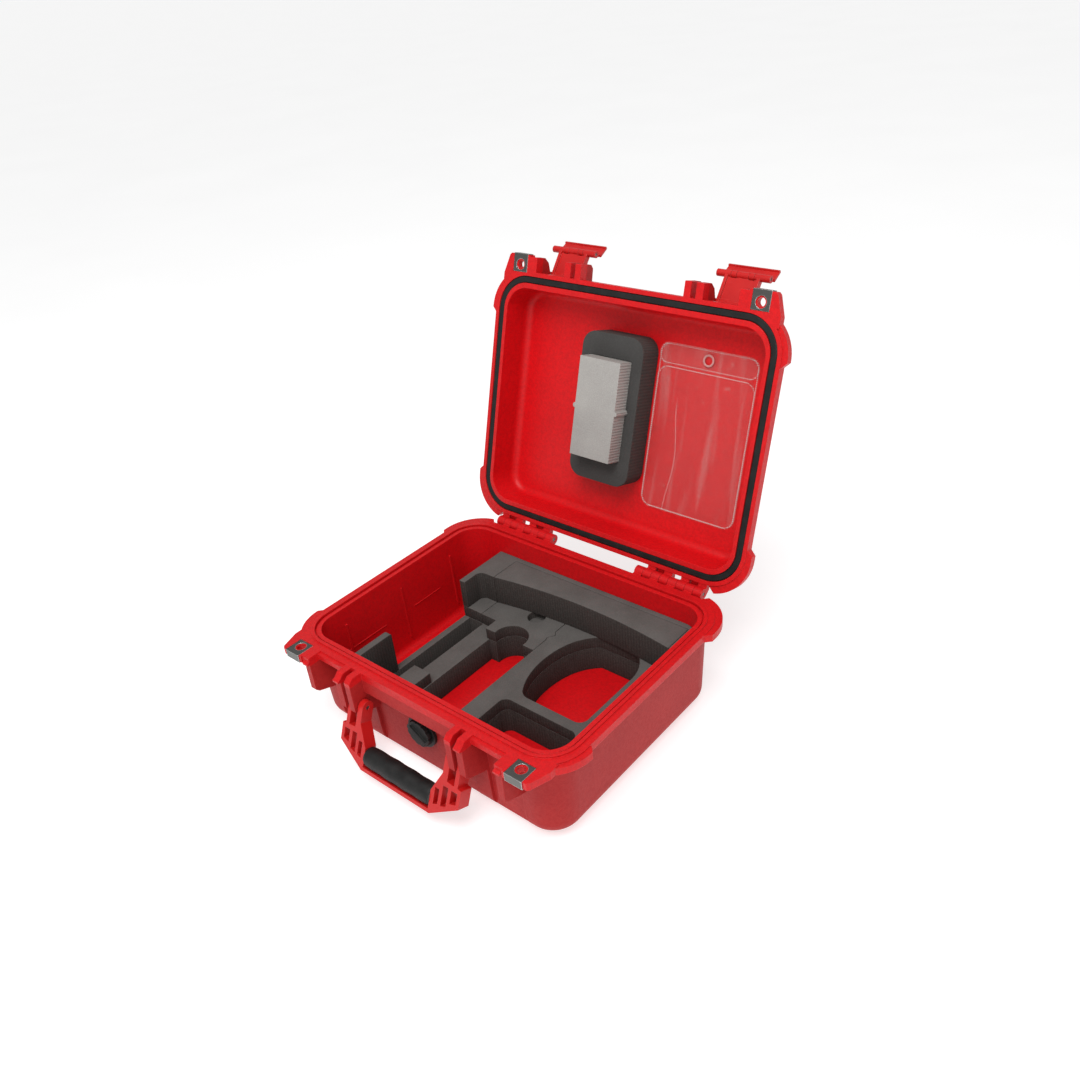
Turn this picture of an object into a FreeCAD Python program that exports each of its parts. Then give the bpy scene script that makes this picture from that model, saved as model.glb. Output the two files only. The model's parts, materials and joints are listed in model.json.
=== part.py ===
import FreeCAD, Part
import math
import os

os.makedirs("parts", exist_ok=True)
Vector = FreeCAD.Vector

# Frame: millimetres, +Z up, -Y the front with the handle, origin on the table under the middle.

# Overall sizes of the two shells
foot_height = 4.0
floor_thickness = 3.5
base_depth = 94.0
lid_depth = 34.0
lid_top_thickness = 3.5
opening_half_x = 149.2
opening_half_y = 112.7
opening_corner = 24.0
floor_z = foot_height + floor_thickness
rim_z = floor_z + base_depth

# Draft: how far each wall leans in from the rim to the far end
base_inner_draft = 3.6
base_outer_draft_x = 5.0
base_outer_draft_y = 3.5
lid_draft = 2.0
wall_at_rim_x = 6.8
wall_at_rim_y = 8.8
base_bottom_round = 16.0
base_floor_round = 7.0
lid_top_round = 12.0
lid_inner_round = 8.0

# Rim, flange and corner bumpers
flange_half_x = 164.2
flange_half_y = 128.9
flange_corner = 39.0
flange_height = 9.0
rim_step = 1.5
ridge_inset = 6.0
ridge_width = 3.2
trough_width = 1.8
trough_depth = 2.0
bumper_half_x = 169.5
bumper_half_y = 136.0
bumper_front_proud = 2.0
bumper_corner = 42.0
bumper_drop = 1.2
bumper_height = 7.2
bumper_side_start = 83.0
bumper_back_start = 131.5
fascia_height = 24.0
fascia_wall = 3.2

# Gasket in the lid
gasket_mid_x = 156.6
gasket_mid_y = 121.3
gasket_width = 6.4
gasket_corner = 31.4
gasket_side_gap = 0.3
gasket_groove_depth = 5.6
gasket_seal_gap = 0.3
gasket_round = 1.4

# Front ears, webs and padlock tabs
ear_inner_x = 59.0
ear_slot_x = 66.0
ear_outer_x = 71.5
ear_end_x = 79.0
web_x = 115.0
web_end_x = 122.0
ear_front_y = 143.5
ear_chamfer = 4.5
ear_foot_chamfer = 3.5
ear_drop = 38.0
ear_root_drop = 50.0
lid_ear_chamfer = 0.5
lid_ear_height = 16.0
lid_ear_root_height = 21.0
latch_ear_front_height = 13.0
latch_ear_chamfer = 4.5
latch_ear_shoulder_height = 19.0
latch_ear_boss_y = 129.8
latch_ear_boss_low = 23.0
latch_ear_height = 31.0
wall_bite = 6.0
nose_top_drop = 5.5
nose_slope = 1.5
nose_low_drop = 9.0
nose_reach = 2.5
tab_front_y = 145.0
tab_step_x = 124.2
tab_end_x = 151.0
tab_end_chamfer = 2.0
tab_root_x = 157.0
tab_root_y = 124.9
tab_height = 7.5
bay_lip_y = 132.5
bay_lip_height = 6.0
padlock_x = 136.2
padlock_y = 135.0
padlock_hole_r = 4.0
guard_half_x = 9.0
guard_sheet = 0.8
guard_recess = 1.0
guard_hole_r = 5.4
guard_back_y = 127.5

# Front wall: shallow panels between the upright pilasters
panel_step = 3.5
pilaster_x = 61.0
pilaster_end_x = 79.0
corner_lobe_x = 117.0

# Hinges
hinge_y = 137.24
hinge_drop = 2.97
open_angle = 106.64
knuckle_r = 5.6
knuckle_count = 8
hinge_start_x = 53.0
hinge_length = 77.0
knuckle_gap = 0.4
hinge_pin_r = 2.0
running_gap = 0.05
stop_gap = 0.3

# Latches (one link and one lever each), measured with the lid shut
latch_pivot_y = 125.5
latch_pivot_rise = 26.1
link_length = 28.9
link_shut_angle = 220.7
link_swing = 62.8
lever_swing = 101.2
latch_eye_r = 3.4
latch_pin_r = 1.6
latch_pin_recess = 0.4
link_side_gap = 0.6
link_arm = 3.0
link_arm_half = 3.0
link_plate = 2.6
barrel_half_x = 27.0
lever_slot_in = 6.0
lever_slot_out = 12.0
lever_knuckle_gap = 0.4
lever_eye_gap = 0.5
lever_half_x = 26.0
lever_arm = 2.5
lever_hook_gap = 0.3
lever_lip_back = 3.2
lever_lip_inside = 1.2
lever_lip = 1.9
lever_tip_back = 0.9
lever_tip_drop = 19.3
lever_shoulder_drop = 8.6
lever_shoulder_front = 5.0
lever_plate = 2.8
lever_bend_back = 0.3
lever_bend_rise = 1.7

# Carrying handle, built hanging straight down from its pivots
handle_pivot_y = 134.1
handle_pivot_drop = 35.5
handle_lean = 23.0
handle_plate_in_x = 52.3
handle_side_gap = 0.7
handle_half_x = 75.0
handle_grip_half_x = 42.0
handle_shoulder = 19.0
handle_chamfer_top = 38.3
handle_bottom = 56.4
handle_bottom_half_x = 44.0
handle_half_y = 6.5
handle_eye_r = 6.5
handle_rim = 3.4
handle_pin_r = 2.0
grip_top = 33.4
grip_half_y = 9.2
grip_round = 6.5
grip_waist = 0.9
core_top = 39.0
core_bottom = 48.5
core_half_y = 4.0

# Purge valve in the front wall
valve_drop = 47.2
valve_flange_r = 16.5
valve_flange_height = 3.0
valve_stem_r = 7.5
valve_hole_r = 7.8
valve_seal_r = 11.0
valve_seal_section = 1.2
valve_knob_r = 13.5
valve_knob_height = 4.2
valve_nut_across = 24.0
valve_nut_height = 5.0
valve_gap = 0.3

# Foam sheets in the base, as heights below the rim
foam_gap = 0.4
foam_low_drop = 67.7
foam_mid_drop = 54.6
foam_top_drop = 22.0
foam_left_x = 108.8
foam_front_y = 103.0
slot_left_x = 101.4
slot_right_x = 82.2
slot_back_y = 46.0
channel_left_x = 59.0
seam_x = 2.0
channel_front_y = 97.0
keyhole_x = 30.5
keyhole_y = 33.0
keyhole_r = 18.5
keyhole_left_x = 48.0
keyhole_mouth_y = 30.0
arm_front_y = 46.0
arm_right_x = 62.0
pocket_left_x = 24.5
pocket_right_x = 112.0
pocket_back_y = 38.0
pocket_front_y = 96.0
pocket_corner = 8.0
bowl_right_x = 107.0
bowl_left_x = 20.0
bowl_front_y = 27.0
bar_left_x = 82.0
bar_right_x = 133.0
bar_end_y = 70.0
bar_mid_x = 45.0
bar_mid_y = 80.2
surround_back = 4.5
post_wall = 7.5
post_front_y = 46.0
notch_x = 30.0
notch_r = 9.5
small_block = (81.8, 59.8, 97.0, 52.0)
front_post_length = 46.0
post_edge_round = 3.0
cove_r = 7.0

# Inner wall ribs
wall_rib_y = (-74.0, 0.0, 72.0)
wall_rib_width = 2.0
wall_rib_proud = 1.0
wall_rib_top = 20.0
wall_rib_bottom = 82.0
witness_drop = 50.0
witness_spans = ((-77.0, -28.0), (12.0, 51.0))
witness_height = 0.9
witness_proud = 0.5

# Lid contents, measured with the lid shut
pad_x = (-52.0, 20.5)
pad_y = (-83.5, 64.5)
pad_height = 27.0
pad_corner = 15.0
insert_x = (-40.0, 8.0)
insert_y = (-60.2, 38.5)
insert_top = 11.0
insert_seat = 20.0
insert_gap = 0.4
nib_y = -11.0
nib_r = 2.6
pouch_x = (22.5, 130.0)
pouch_y = (-83.0, 82.0)
pouch_corner = 12.0
pouch_sheet = 0.5
pouch_gap = 0.3
flap_width = 21.0
snap_x = 77.0
snap_r = 6.0
snap_hole_r = 4.0
snap_height = 1.0

# Underside feet and lid stacking ribs
foot_x = 112.0
foot_y = 80.0
foot_half_x = 20.0
foot_half_y = 14.0
foot_corner = 8.0
under_rib_half = 7.0
stack_rib_height = 4.0
stack_half_x = 132.0
stack_half_y = 98.0
stack_rib_width = 7.0
stack_corner = 22.0
badge_half_x = 42.0
badge_half_y = 24.0
badge_depth = 1.2

hinge_z = rim_z - hinge_drop
wall_x = opening_half_x + wall_at_rim_x
wall_y = opening_half_y + wall_at_rim_y
latch_ear_spans = ((ear_outer_x, ear_end_x), (web_x, web_end_x))
latch_x = (ear_outer_x + web_end_x) / 2.0
link_half_x = web_x - latch_x - link_side_gap


def rounded_wire(half_x, half_y, corner, z, middle=(0.0, 0.0)):
    """A rectangle with round corners, as a closed wire at height z."""
    mid_x, mid_y = middle
    k = corner * (1.0 - math.sqrt(0.5))
    edges = []
    turns = [(1, -1), (1, 1), (-1, 1), (-1, -1)]
    for number, (sx, sy) in enumerate(turns):
        next_sx, next_sy = turns[(number + 1) % 4]
        flat_x = Vector(mid_x + sx * (half_x - corner), mid_y + sy * half_y, z)
        flat_y = Vector(mid_x + sx * half_x, mid_y + sy * (half_y - corner), z)
        bend = Vector(mid_x + sx * (half_x - k), mid_y + sy * (half_y - k), z)
        first, last = (flat_x, flat_y) if sx * sy < 0 else (flat_y, flat_x)
        edges.append(Part.Arc(first, bend, last).toShape())
        next_x = Vector(mid_x + next_sx * (half_x - corner), mid_y + next_sy * half_y, z)
        next_y = Vector(mid_x + next_sx * half_x, mid_y + next_sy * (half_y - corner), z)
        start = next_x if next_sx * next_sy < 0 else next_y
        edges.append(Part.LineSegment(last, start).toShape())
    return Part.Wire(edges)


def slab(half_x, half_y, corner, low, high, middle=(0.0, 0.0)):
    """A flat plate with round corners between two heights."""
    outline = rounded_wire(half_x, half_y, corner, low, middle)
    return Part.Face(outline).extrude(Vector(0, 0, high - low))


def span_slab(x_span, y_span, corner, low, high):
    """A round-cornered plate given by its X and Y limits."""
    middle = (sum(x_span) / 2.0, sum(y_span) / 2.0)
    half_x = abs(x_span[1] - x_span[0]) / 2.0
    half_y = abs(y_span[1] - y_span[0]) / 2.0
    return slab(half_x, half_y, corner, low, high, middle)


def ring(half_x, half_y, corner, width, low, high):
    """A round-cornered frame whose inner edge has the given half sizes."""
    outside = slab(half_x + width, half_y + width, corner + width, low, high)
    return outside.cut(slab(half_x, half_y, corner, low - 1.0, high + 1.0))


def block(x0, x1, y0, y1, z0, z1):
    """A plain box given by its limits, in either order."""
    low = Vector(min(x0, x1), min(y0, y1), min(z0, z1))
    return Part.makeBox(abs(x1 - x0), abs(y1 - y0), abs(z1 - z0), low)


def rod(radius, x0, x1, y, z):
    """A round bar along X."""
    return Part.makeCylinder(radius, abs(x1 - x0), Vector(min(x0, x1), y, z), Vector(1, 0, 0))


def side_prism(points, x0, x1):
    """An outline in Y and Z, pushed along X."""
    low = min(x0, x1)
    corners = [Vector(low, y, z) for y, z in points]
    return Part.Face(Part.makePolygon(corners + corners[:1])).extrude(Vector(abs(x1 - x0), 0, 0))


def plan_prism(points, z0, z1):
    """An outline in X and Y, pushed along Z."""
    corners = [Vector(x, y, z0) for x, y in points]
    return Part.Face(Part.makePolygon(corners + corners[:1])).extrude(Vector(0, 0, z1 - z0))


def leaning(low_half, low_corner, low, high_half, high_corner, high):
    """A solid between two round-cornered rectangles of different size."""
    wires = [rounded_wire(low_half[0], low_half[1], low_corner, low)]
    wires.append(rounded_wire(high_half[0], high_half[1], high_corner, high))
    return Part.makeLoft(wires, True, True)


def round_level(shape, z, radius):
    """Round every edge that lies flat at height z."""
    edges = [e for e in shape.Edges if abs(e.BoundBox.ZMin - z) < 1e-3 and abs(e.BoundBox.ZMax - z) < 1e-3]
    return shape.makeFillet(radius, edges)


def mirrored(shape):
    """The same shape on the other side of the middle."""
    return shape.mirror(Vector(0, 0, 0), Vector(1, 0, 0))


def both_sides(shape):
    """The shape and its left-hand copy."""
    return [shape, mirrored(shape)]


def join(shapes):
    """All the shapes as one body."""
    return shapes[0].multiFuse(shapes[1:]).removeSplitter()


def save(shape, name):
    """One node, one file."""
    shape.exportStep("parts/%s.step" % name)


def opened(shape):
    """Swing a lid piece from shut to its open rest position."""
    turned = shape.copy()
    turned.rotate(Vector(0, hinge_y, hinge_z), Vector(1, 0, 0), -open_angle)
    return turned


def tools_off(shape, tools):
    """Take every tool away from the shape in one go."""
    return shape.cut(Part.makeCompound(tools))


# ---------------------------------------------------------------- shells

def base_inside(inset):
    """The space inside the base, drawn in by the inset."""
    low = (opening_half_x - base_inner_draft - inset, opening_half_y - base_inner_draft - inset)
    high = (opening_half_x - inset, opening_half_y - inset)
    low_corner = opening_corner - base_inner_draft - inset
    space = leaning(low, low_corner, floor_z + inset, high, opening_corner - inset, rim_z)
    return round_level(space, floor_z + inset, base_floor_round)


def lid_inside():
    """The space inside the shut lid."""
    top = rim_z + lid_depth
    low = (opening_half_x, opening_half_y)
    high = (opening_half_x - lid_draft, opening_half_y - lid_draft)
    space = leaning(low, opening_corner, rim_z, high, opening_corner - lid_draft, top)
    return round_level(space, top, lid_inner_round)


def bumper_corner_piece(half_y, low, turn):
    """One corner bumper on the right, its ends sloped off; turn is 1 for the back, -1 for the front."""
    reach = bumper_half_x + 1.0
    far = half_y + 1.0
    side_slope = reach - flange_half_x
    outline = [
        (bumper_back_start, turn * bumper_side_start),
        (flange_half_x, turn * bumper_side_start),
        (reach, turn * (bumper_side_start + side_slope)),
        (reach, turn * far),
        (bumper_back_start + far - flange_half_y, turn * far),
        (bumper_back_start, turn * flange_half_y),
    ]
    plate = slab(bumper_half_x, half_y, bumper_corner, low, low + bumper_height)
    return plate.common(plan_prism(outline, low, low + bumper_height))


def bumpers(low):
    """The four corner bumpers at one level."""
    back = bumper_corner_piece(bumper_half_y, low, 1.0)
    front = bumper_corner_piece(flange_half_y + bumper_front_proud, low, -1.0)
    return both_sides(back) + both_sides(front)


def tab_outline():
    """The right-hand padlock tab seen from above."""
    root = wall_y - wall_bite
    return [
        (web_x, -root),
        (web_x, -ear_front_y),
        (tab_step_x, -ear_front_y),
        (tab_step_x, -tab_front_y),
        (tab_end_x - tab_end_chamfer, -tab_front_y),
        (tab_end_x, -tab_front_y + tab_end_chamfer),
        (tab_root_x, -tab_root_y),
        (tab_root_x, -root),
    ]


def ear_outline(top, front_end, root_end, chamfer):
    """An ear seen from the side; z runs away from the rim to the root."""
    root = wall_y - wall_bite
    turn = 1.0 if root_end > top else -1.0
    return [
        (-root, top),
        (-ear_front_y + chamfer, top),
        (-ear_front_y, top + turn * chamfer),
        (-ear_front_y, front_end),
        (-ear_front_y + ear_foot_chamfer, front_end + turn * ear_foot_chamfer),
        (-root, root_end),
    ]


def latch_ear_outline():
    """A tall lid ear that carries a latch, seen from the side."""
    root = wall_y - wall_bite
    shoulder = rim_z + latch_ear_front_height
    return [
        (-root, rim_z),
        (-ear_front_y, rim_z),
        (-ear_front_y, shoulder),
        (-ear_front_y + latch_ear_chamfer, rim_z + latch_ear_shoulder_height),
        (-latch_ear_boss_y, rim_z + latch_ear_boss_low),
        (-latch_ear_boss_y, rim_z + latch_ear_height),
        (-root, rim_z + latch_ear_height),
    ]


def base_ears():
    """The base's ears and webs, with the small noses that the latches hook under."""
    top = rim_z - rim_step
    outline = ear_outline(top, rim_z - ear_drop, rim_z - ear_root_drop, ear_chamfer)
    back = -ear_front_y + 0.5
    tip = -ear_front_y - nose_reach
    nose = [(back, rim_z - nose_top_drop), (tip, rim_z - nose_top_drop - nose_slope)]
    nose += [(tip, rim_z - nose_low_drop), (back, rim_z - nose_low_drop)]
    pieces = both_sides(side_prism(outline, ear_inner_x, ear_slot_x))
    for x0, x1 in latch_ear_spans:
        pieces += both_sides(side_prism(outline, x0, x1))
        pieces += both_sides(side_prism(nose, x0, x1))
    return pieces


def lid_ears():
    """The lid's short inner ears and the tall ears that carry the latches."""
    short = ear_outline(rim_z, rim_z + lid_ear_height, rim_z + lid_ear_root_height, lid_ear_chamfer)
    pieces = both_sides(side_prism(short, ear_inner_x, ear_slot_x))
    for x0, x1 in latch_ear_spans:
        pieces += both_sides(side_prism(latch_ear_outline(), x0, x1))
    return pieces


def knuckle_spans(wanted):
    """X spans of the even (base) or odd (lid) hinge knuckles on the right."""
    pitch = hinge_length / knuckle_count
    spans = []
    for number in range(wanted, knuckle_count, 2):
        x0 = hinge_start_x + number * pitch
        spans.append((x0 + knuckle_gap / 2.0, x0 + pitch - knuckle_gap / 2.0))
    return spans


def base_knuckles():
    """The base halves of both hinges."""
    pieces = []
    for x0, x1 in knuckle_spans(0):
        leaf = block(x0, x1, wall_y - 4.0, hinge_y, hinge_z - knuckle_r, rim_z - rim_step - 0.4)
        pieces += both_sides(rod(knuckle_r, x0, x1, hinge_y, hinge_z).fuse(leaf))
    return pieces


def lid_knuckles():
    """The lid halves of both hinges, lid shut."""
    clear_y = hinge_y - knuckle_r + 0.1
    outline = [
        (flange_half_y - 4.0, rim_z + 0.5),
        (flange_half_y - 4.0, rim_z + 7.0),
        (hinge_y - 2.4, rim_z + 6.0),
        (hinge_y + 3.9, hinge_z + 4.0),
        (hinge_y, hinge_z),
        (clear_y, hinge_z),
        (clear_y, rim_z + 0.5),
    ]
    pieces = []
    for x0, x1 in knuckle_spans(1):
        pieces += both_sides(rod(knuckle_r, x0, x1, hinge_y, hinge_z).fuse(side_prism(outline, x0, x1)))
    return pieces


def open_stops():
    """Lugs under the hinges that the open lid's back edge comes to rest on."""
    lean = math.radians(open_angle)
    edge_y = flange_half_y - hinge_y
    corners = []
    for height in (2.0, flange_height - 0.5):
        z = height + hinge_drop
        corners.append((hinge_y + edge_y * math.cos(lean) + z * math.sin(lean),
                        hinge_z - edge_y * math.sin(lean) + z * math.cos(lean) - stop_gap))
    outline = [
        (wall_y - 5.0, rim_z - 38.0),
        (wall_y - 5.0, rim_z - 11.0),
        (134.0, rim_z - 11.0),
        (142.0, rim_z - 9.5),
        (corners[0][0], rim_z - 6.0),
        corners[0],
        corners[1],
        (corners[1][0], rim_z - 12.0),
        (corners[1][0] - 8.0, rim_z - 19.0),
    ]
    pieces = []
    for number in (1, 3):
        x0, x1 = knuckle_spans(0)[number]
        pieces += both_sides(side_prism(outline, x0 + 0.5, x1 - 0.5))
    return pieces


def base_shell():
    """The lower half of the case."""
    low = (wall_x - base_outer_draft_x, wall_y - base_outer_draft_y)
    corner = opening_corner + wall_at_rim_x
    tub = leaning(low, corner - 4.0, foot_height, (wall_x, wall_y), corner, rim_z - flange_height / 2.0)
    tub = round_level(tub, foot_height, base_bottom_round)
    panels = []
    face_low = -low[1] + panel_step
    face_high = -wall_y + panel_step
    wedge = [(-wall_y - 5.0, 0.0), (face_low, 0.0), (face_high, rim_z), (-wall_y - 5.0, rim_z)]
    panels.append(side_prism(wedge, -pilaster_x, pilaster_x))
    panels += both_sides(side_prism(wedge, pilaster_end_x, corner_lobe_x))
    tub = tools_off(tub, panels)
    flange_top = rim_z - rim_step
    parts = [tub, slab(flange_half_x, flange_half_y, flange_corner, rim_z - flange_height, flange_top)]
    parts += bumpers(flange_top - bumper_drop - bumper_height)
    parts += base_ears()
    parts += both_sides(plan_prism(tab_outline(), flange_top - tab_height, flange_top))
    bay_lip = block(ear_end_x - 1, web_x + 1, -bay_lip_y, -wall_y + wall_bite, rim_z - flange_height,
                    rim_z - flange_height + bay_lip_height)
    parts += both_sides(bay_lip)
    parts.append(block(-ear_inner_x - 1, ear_inner_x + 1, -flange_half_y, -flange_half_y + fascia_wall,
                       rim_z - fascia_height, rim_z - flange_height + 1.0))
    parts += base_knuckles() + open_stops()
    inner = (opening_half_x + ridge_inset, opening_half_y + ridge_inset)
    parts.append(ring(inner[0], inner[1], opening_corner + ridge_inset, ridge_width,
                      flange_top - 1.0, rim_z))
    for sx in (-1, 1):
        for sy in (-1, 1):
            parts.append(slab(foot_half_x, foot_half_y, foot_corner, 0.0, foot_height + 1.0,
                              (sx * foot_x, sy * foot_y)))
    parts.append(block(-foot_x, foot_x, -under_rib_half, under_rib_half, 0.0, foot_height + 1.0))
    parts.append(block(-under_rib_half, under_rib_half, -foot_y, foot_y, 0.0, foot_height + 1.0))
    shell = join(parts)
    trough = ring(inner[0] - trough_width, inner[1] - trough_width,
                  opening_corner + ridge_inset - trough_width, trough_width,
                  flange_top - trough_depth, rim_z + 1.0)
    tools = [base_inside(0.0), slab(opening_half_x, opening_half_y, opening_corner, rim_z - 0.01, rim_z + 5.0), trough]
    tools += both_sides(rod(hinge_pin_r + running_gap, hinge_start_x - 1, hinge_start_x + hinge_length + 1,
                            hinge_y, hinge_z))
    tools += both_sides(rod(handle_pin_r + running_gap, ear_inner_x - 1, ear_slot_x + 1,
                            -handle_pivot_y, rim_z - handle_pivot_drop))
    tools += guard_tools(flange_top, -1.0)
    tools.append(Part.makeCylinder(valve_hole_r, 30.0, Vector(0, -wall_y - 5.0, rim_z - valve_drop), Vector(0, 1, 0)))
    shell = tools_off(shell, tools)
    return join([shell] + wall_ribs())


def wall_ribs():
    """Thin upright ribs and witness lines on the left inner wall."""
    ribs = []
    for y in wall_rib_y:
        ribs.append(wall_strip(y - wall_rib_width / 2.0, y + wall_rib_width / 2.0,
                               wall_rib_bottom, wall_rib_top, wall_rib_proud))
    for y0, y1 in witness_spans:
        ribs.append(wall_strip(y0, y1, witness_drop, witness_drop - witness_height, witness_proud))
    return ribs


def wall_strip(y0, y1, low_drop, high_drop, proud):
    """A strip standing proud of the left inner wall between two drops."""
    faces = []
    for drop in (low_drop, high_drop):
        inner = opening_half_x - base_inner_draft * drop / base_depth
        faces.append((-inner + proud, rim_z - drop))
    corners = [(-opening_half_x - 1.0, faces[0][1]), faces[0], faces[1], (-opening_half_x - 1.0, faces[1][1])]
    wire = Part.makePolygon([Vector(x, y0, z) for x, z in corners + corners[:1]])
    return Part.Face(wire).extrude(Vector(0, y1 - y0, 0))


def guard_tools(face_z, turn):
    """Cuts for the padlock guards: a shallow seat and the padlock hole. turn points into the tab."""
    tools = []
    deep = face_z + turn * guard_recess
    far = face_z + turn * tab_height
    seat = block(padlock_x - guard_half_x - 0.2, padlock_x + guard_half_x + 0.2, -tab_front_y - 1.0,
                 -guard_back_y, deep, face_z - turn * 2.0)
    hole = Part.makeCylinder(padlock_hole_r, 30.0, Vector(padlock_x, -padlock_y, rim_z - 15.0))
    room = block(padlock_x - guard_half_x - 0.2, padlock_x + guard_half_x + 0.2, -tab_front_y - 1.0,
                 -guard_back_y - 2.0, far, far + turn * 3.5)
    for tool in (seat, hole, room):
        tools += both_sides(tool)
    return tools


def padlock_guard(face_z, turn):
    """A folded steel plate round the edge of a padlock tab."""
    deep = face_z + turn * guard_recess
    far = face_z + turn * tab_height
    x0 = padlock_x - guard_half_x
    x1 = padlock_x + guard_half_x
    front = -tab_front_y - guard_sheet
    near_plate = block(x0, x1, front, -guard_back_y - 0.3, deep, deep - turn * guard_sheet)
    fold = block(x0, x1, front, -tab_front_y, deep - turn * guard_sheet, far + turn * guard_sheet)
    far_plate = block(x0, x1, front, -guard_back_y - 2.3, far, far + turn * guard_sheet)
    plate = join([near_plate, fold, far_plate])
    hole = Part.makeCylinder(guard_hole_r, 40.0, Vector(padlock_x, -padlock_y, rim_z - 20.0))
    return plate.cut(hole)


def lid_shell():
    """The upper half of the case, lid shut."""
    top = rim_z + lid_depth + lid_top_thickness
    corner = opening_corner + wall_at_rim_x
    high = (wall_x - lid_draft, wall_y - lid_draft)
    dome = leaning((wall_x, wall_y), corner, rim_z + flange_height / 2.0, high, corner - lid_draft, top)
    dome = round_level(dome, top, lid_top_round)
    parts = [dome, slab(flange_half_x, flange_half_y, flange_corner, rim_z, rim_z + flange_height)]
    parts += bumpers(rim_z + bumper_drop)
    parts += lid_ears()
    parts += both_sides(plan_prism(tab_outline(), rim_z, rim_z + tab_height))
    parts += lid_knuckles()
    frame = ring(stack_half_x - stack_rib_width, stack_half_y - stack_rib_width,
                 stack_corner - stack_rib_width, stack_rib_width, top - 1.0, top + stack_rib_height)
    parts.append(frame)
    shell = join(parts)
    groove = gasket_ring(gasket_side_gap, rim_z - 1.0, rim_z + gasket_groove_depth)
    tools = [lid_inside(), slab(opening_half_x, opening_half_y, opening_corner, rim_z - 5.0, rim_z + 0.01), groove]
    tools += both_sides(rod(hinge_pin_r + running_gap, hinge_start_x - 1, hinge_start_x + hinge_length + 1,
                            hinge_y, hinge_z))
    tools += both_sides(rod(latch_pin_r + running_gap, ear_outer_x - 1.0, web_end_x + 1.0,
                            -latch_pivot_y, rim_z + latch_pivot_rise))
    tools += guard_tools(rim_z, 1.0)
    tools.append(slab(badge_half_x, badge_half_y, 4.0, top - badge_depth, top + 1.0))
    return tools_off(shell, tools)


# ---------------------------------------------------------------- gasket and hinge pins

def gasket_ring(extra, low, high):
    """The gasket's frame shape, grown by extra on both edges."""
    half = gasket_width / 2.0 + extra
    inner_x = gasket_mid_x - half
    inner_y = gasket_mid_y - half
    return ring(inner_x, inner_y, gasket_corner - half, 2.0 * half, low, high)


def lid_gasket():
    """The soft ring in the lid that the base ridge presses."""
    low = rim_z + gasket_seal_gap
    seal = gasket_ring(0.0, low, rim_z + gasket_groove_depth)
    return round_level(seal, low, gasket_round)


def hinge_pin():
    """The right-hand hinge pin."""
    return rod(hinge_pin_r, hinge_start_x + 0.6, hinge_start_x + hinge_length - 0.6, hinge_y, hinge_z)


# ---------------------------------------------------------------- latches

def latch_joint_shut():
    """Y and Z of the joint between link and lever with the latch shut."""
    angle = math.radians(link_shut_angle)
    y = -latch_pivot_y + link_length * math.cos(angle)
    return y, rim_z + latch_pivot_rise + link_length * math.sin(angle)


def latch_link():
    """The right-hand link, built pointing forward and then turned: hub, arms, plate and wide barrel."""
    pivot_y = -latch_pivot_y
    pivot_z = rim_z + latch_pivot_rise
    joint_y = pivot_y - link_length
    pieces = [rod(latch_eye_r, latch_x - link_half_x, latch_x + link_half_x, pivot_y, pivot_z)]
    pieces.append(rod(latch_eye_r, latch_x - barrel_half_x, latch_x + barrel_half_x, joint_y, pivot_z))
    pieces.append(block(latch_x - link_half_x, latch_x + link_half_x, pivot_y, joint_y,
                        pivot_z - link_plate / 2.0, pivot_z + link_plate / 2.0))
    for side in (-1, 1):
        pieces.append(block(latch_x + side * link_half_x, latch_x + side * (link_half_x - link_arm), pivot_y, joint_y,
                            pivot_z - link_arm_half, pivot_z + link_arm_half))
    link = join(pieces)
    reach = barrel_half_x + 1.0
    tools = [rod(latch_pin_r + running_gap, latch_x - reach, latch_x + reach, pivot_y, pivot_z)]
    tools.append(rod(latch_pin_r, latch_x - reach, latch_x + reach, joint_y, pivot_z))
    for side in (-1, 1):
        tools.append(rod(latch_eye_r + lever_eye_gap, latch_x + side * lever_slot_in,
                         latch_x + side * lever_slot_out, joint_y, pivot_z))
    link = tools_off(link, tools)
    link.rotate(Vector(0, pivot_y, pivot_z), Vector(1, 0, 0), link_shut_angle - 180.0)
    return link


def latch_lever():
    """The right-hand lever, shut: two eyes, two arms and a plate whose lip hooks under the noses."""
    y, z = latch_joint_shut()
    lip_z = rim_z - nose_low_drop - lever_hook_gap
    shoulder_z = z - lever_shoulder_drop
    plate = [
        (y - lever_shoulder_front, shoulder_z),
        (y + lever_tip_back, z - lever_tip_drop),
        (y + lever_lip_back, lip_z - lever_lip),
        (y + lever_lip_back, lip_z),
        (y + lever_lip_inside, lip_z),
        (y + lever_bend_back, lip_z + lever_bend_rise),
        (y - lever_shoulder_front + lever_plate, shoulder_z),
    ]
    arm = [(y - latch_eye_r, z), plate[0], (y - lever_shoulder_front + lever_plate, shoulder_z - 1.0)]
    arm.append((y - latch_eye_r + lever_arm, z))
    pieces = [side_prism(plate, latch_x - lever_half_x, latch_x + lever_half_x)]
    for side in (-1, 1):
        x0 = latch_x + side * (lever_slot_in + lever_knuckle_gap)
        x1 = latch_x + side * (lever_slot_out - lever_knuckle_gap)
        pieces.append(rod(latch_eye_r, x0, x1, y, z))
        pieces.append(side_prism(arm, x0, x1))
    reach = lever_slot_out + 1.0
    return join(pieces).cut(rod(latch_pin_r + running_gap, latch_x - reach, latch_x + reach, y, z))


def latch_swung(shape, with_lever):
    """Swing a latch piece from shut to its open rest position on the lid."""
    y, z = latch_joint_shut()
    turned = shape.copy()
    if with_lever:
        turned.rotate(Vector(0, y, z), Vector(1, 0, 0), -lever_swing)
    turned.rotate(Vector(0, -latch_pivot_y, rim_z + latch_pivot_rise), Vector(1, 0, 0), -link_swing)
    return opened(turned)


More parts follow.
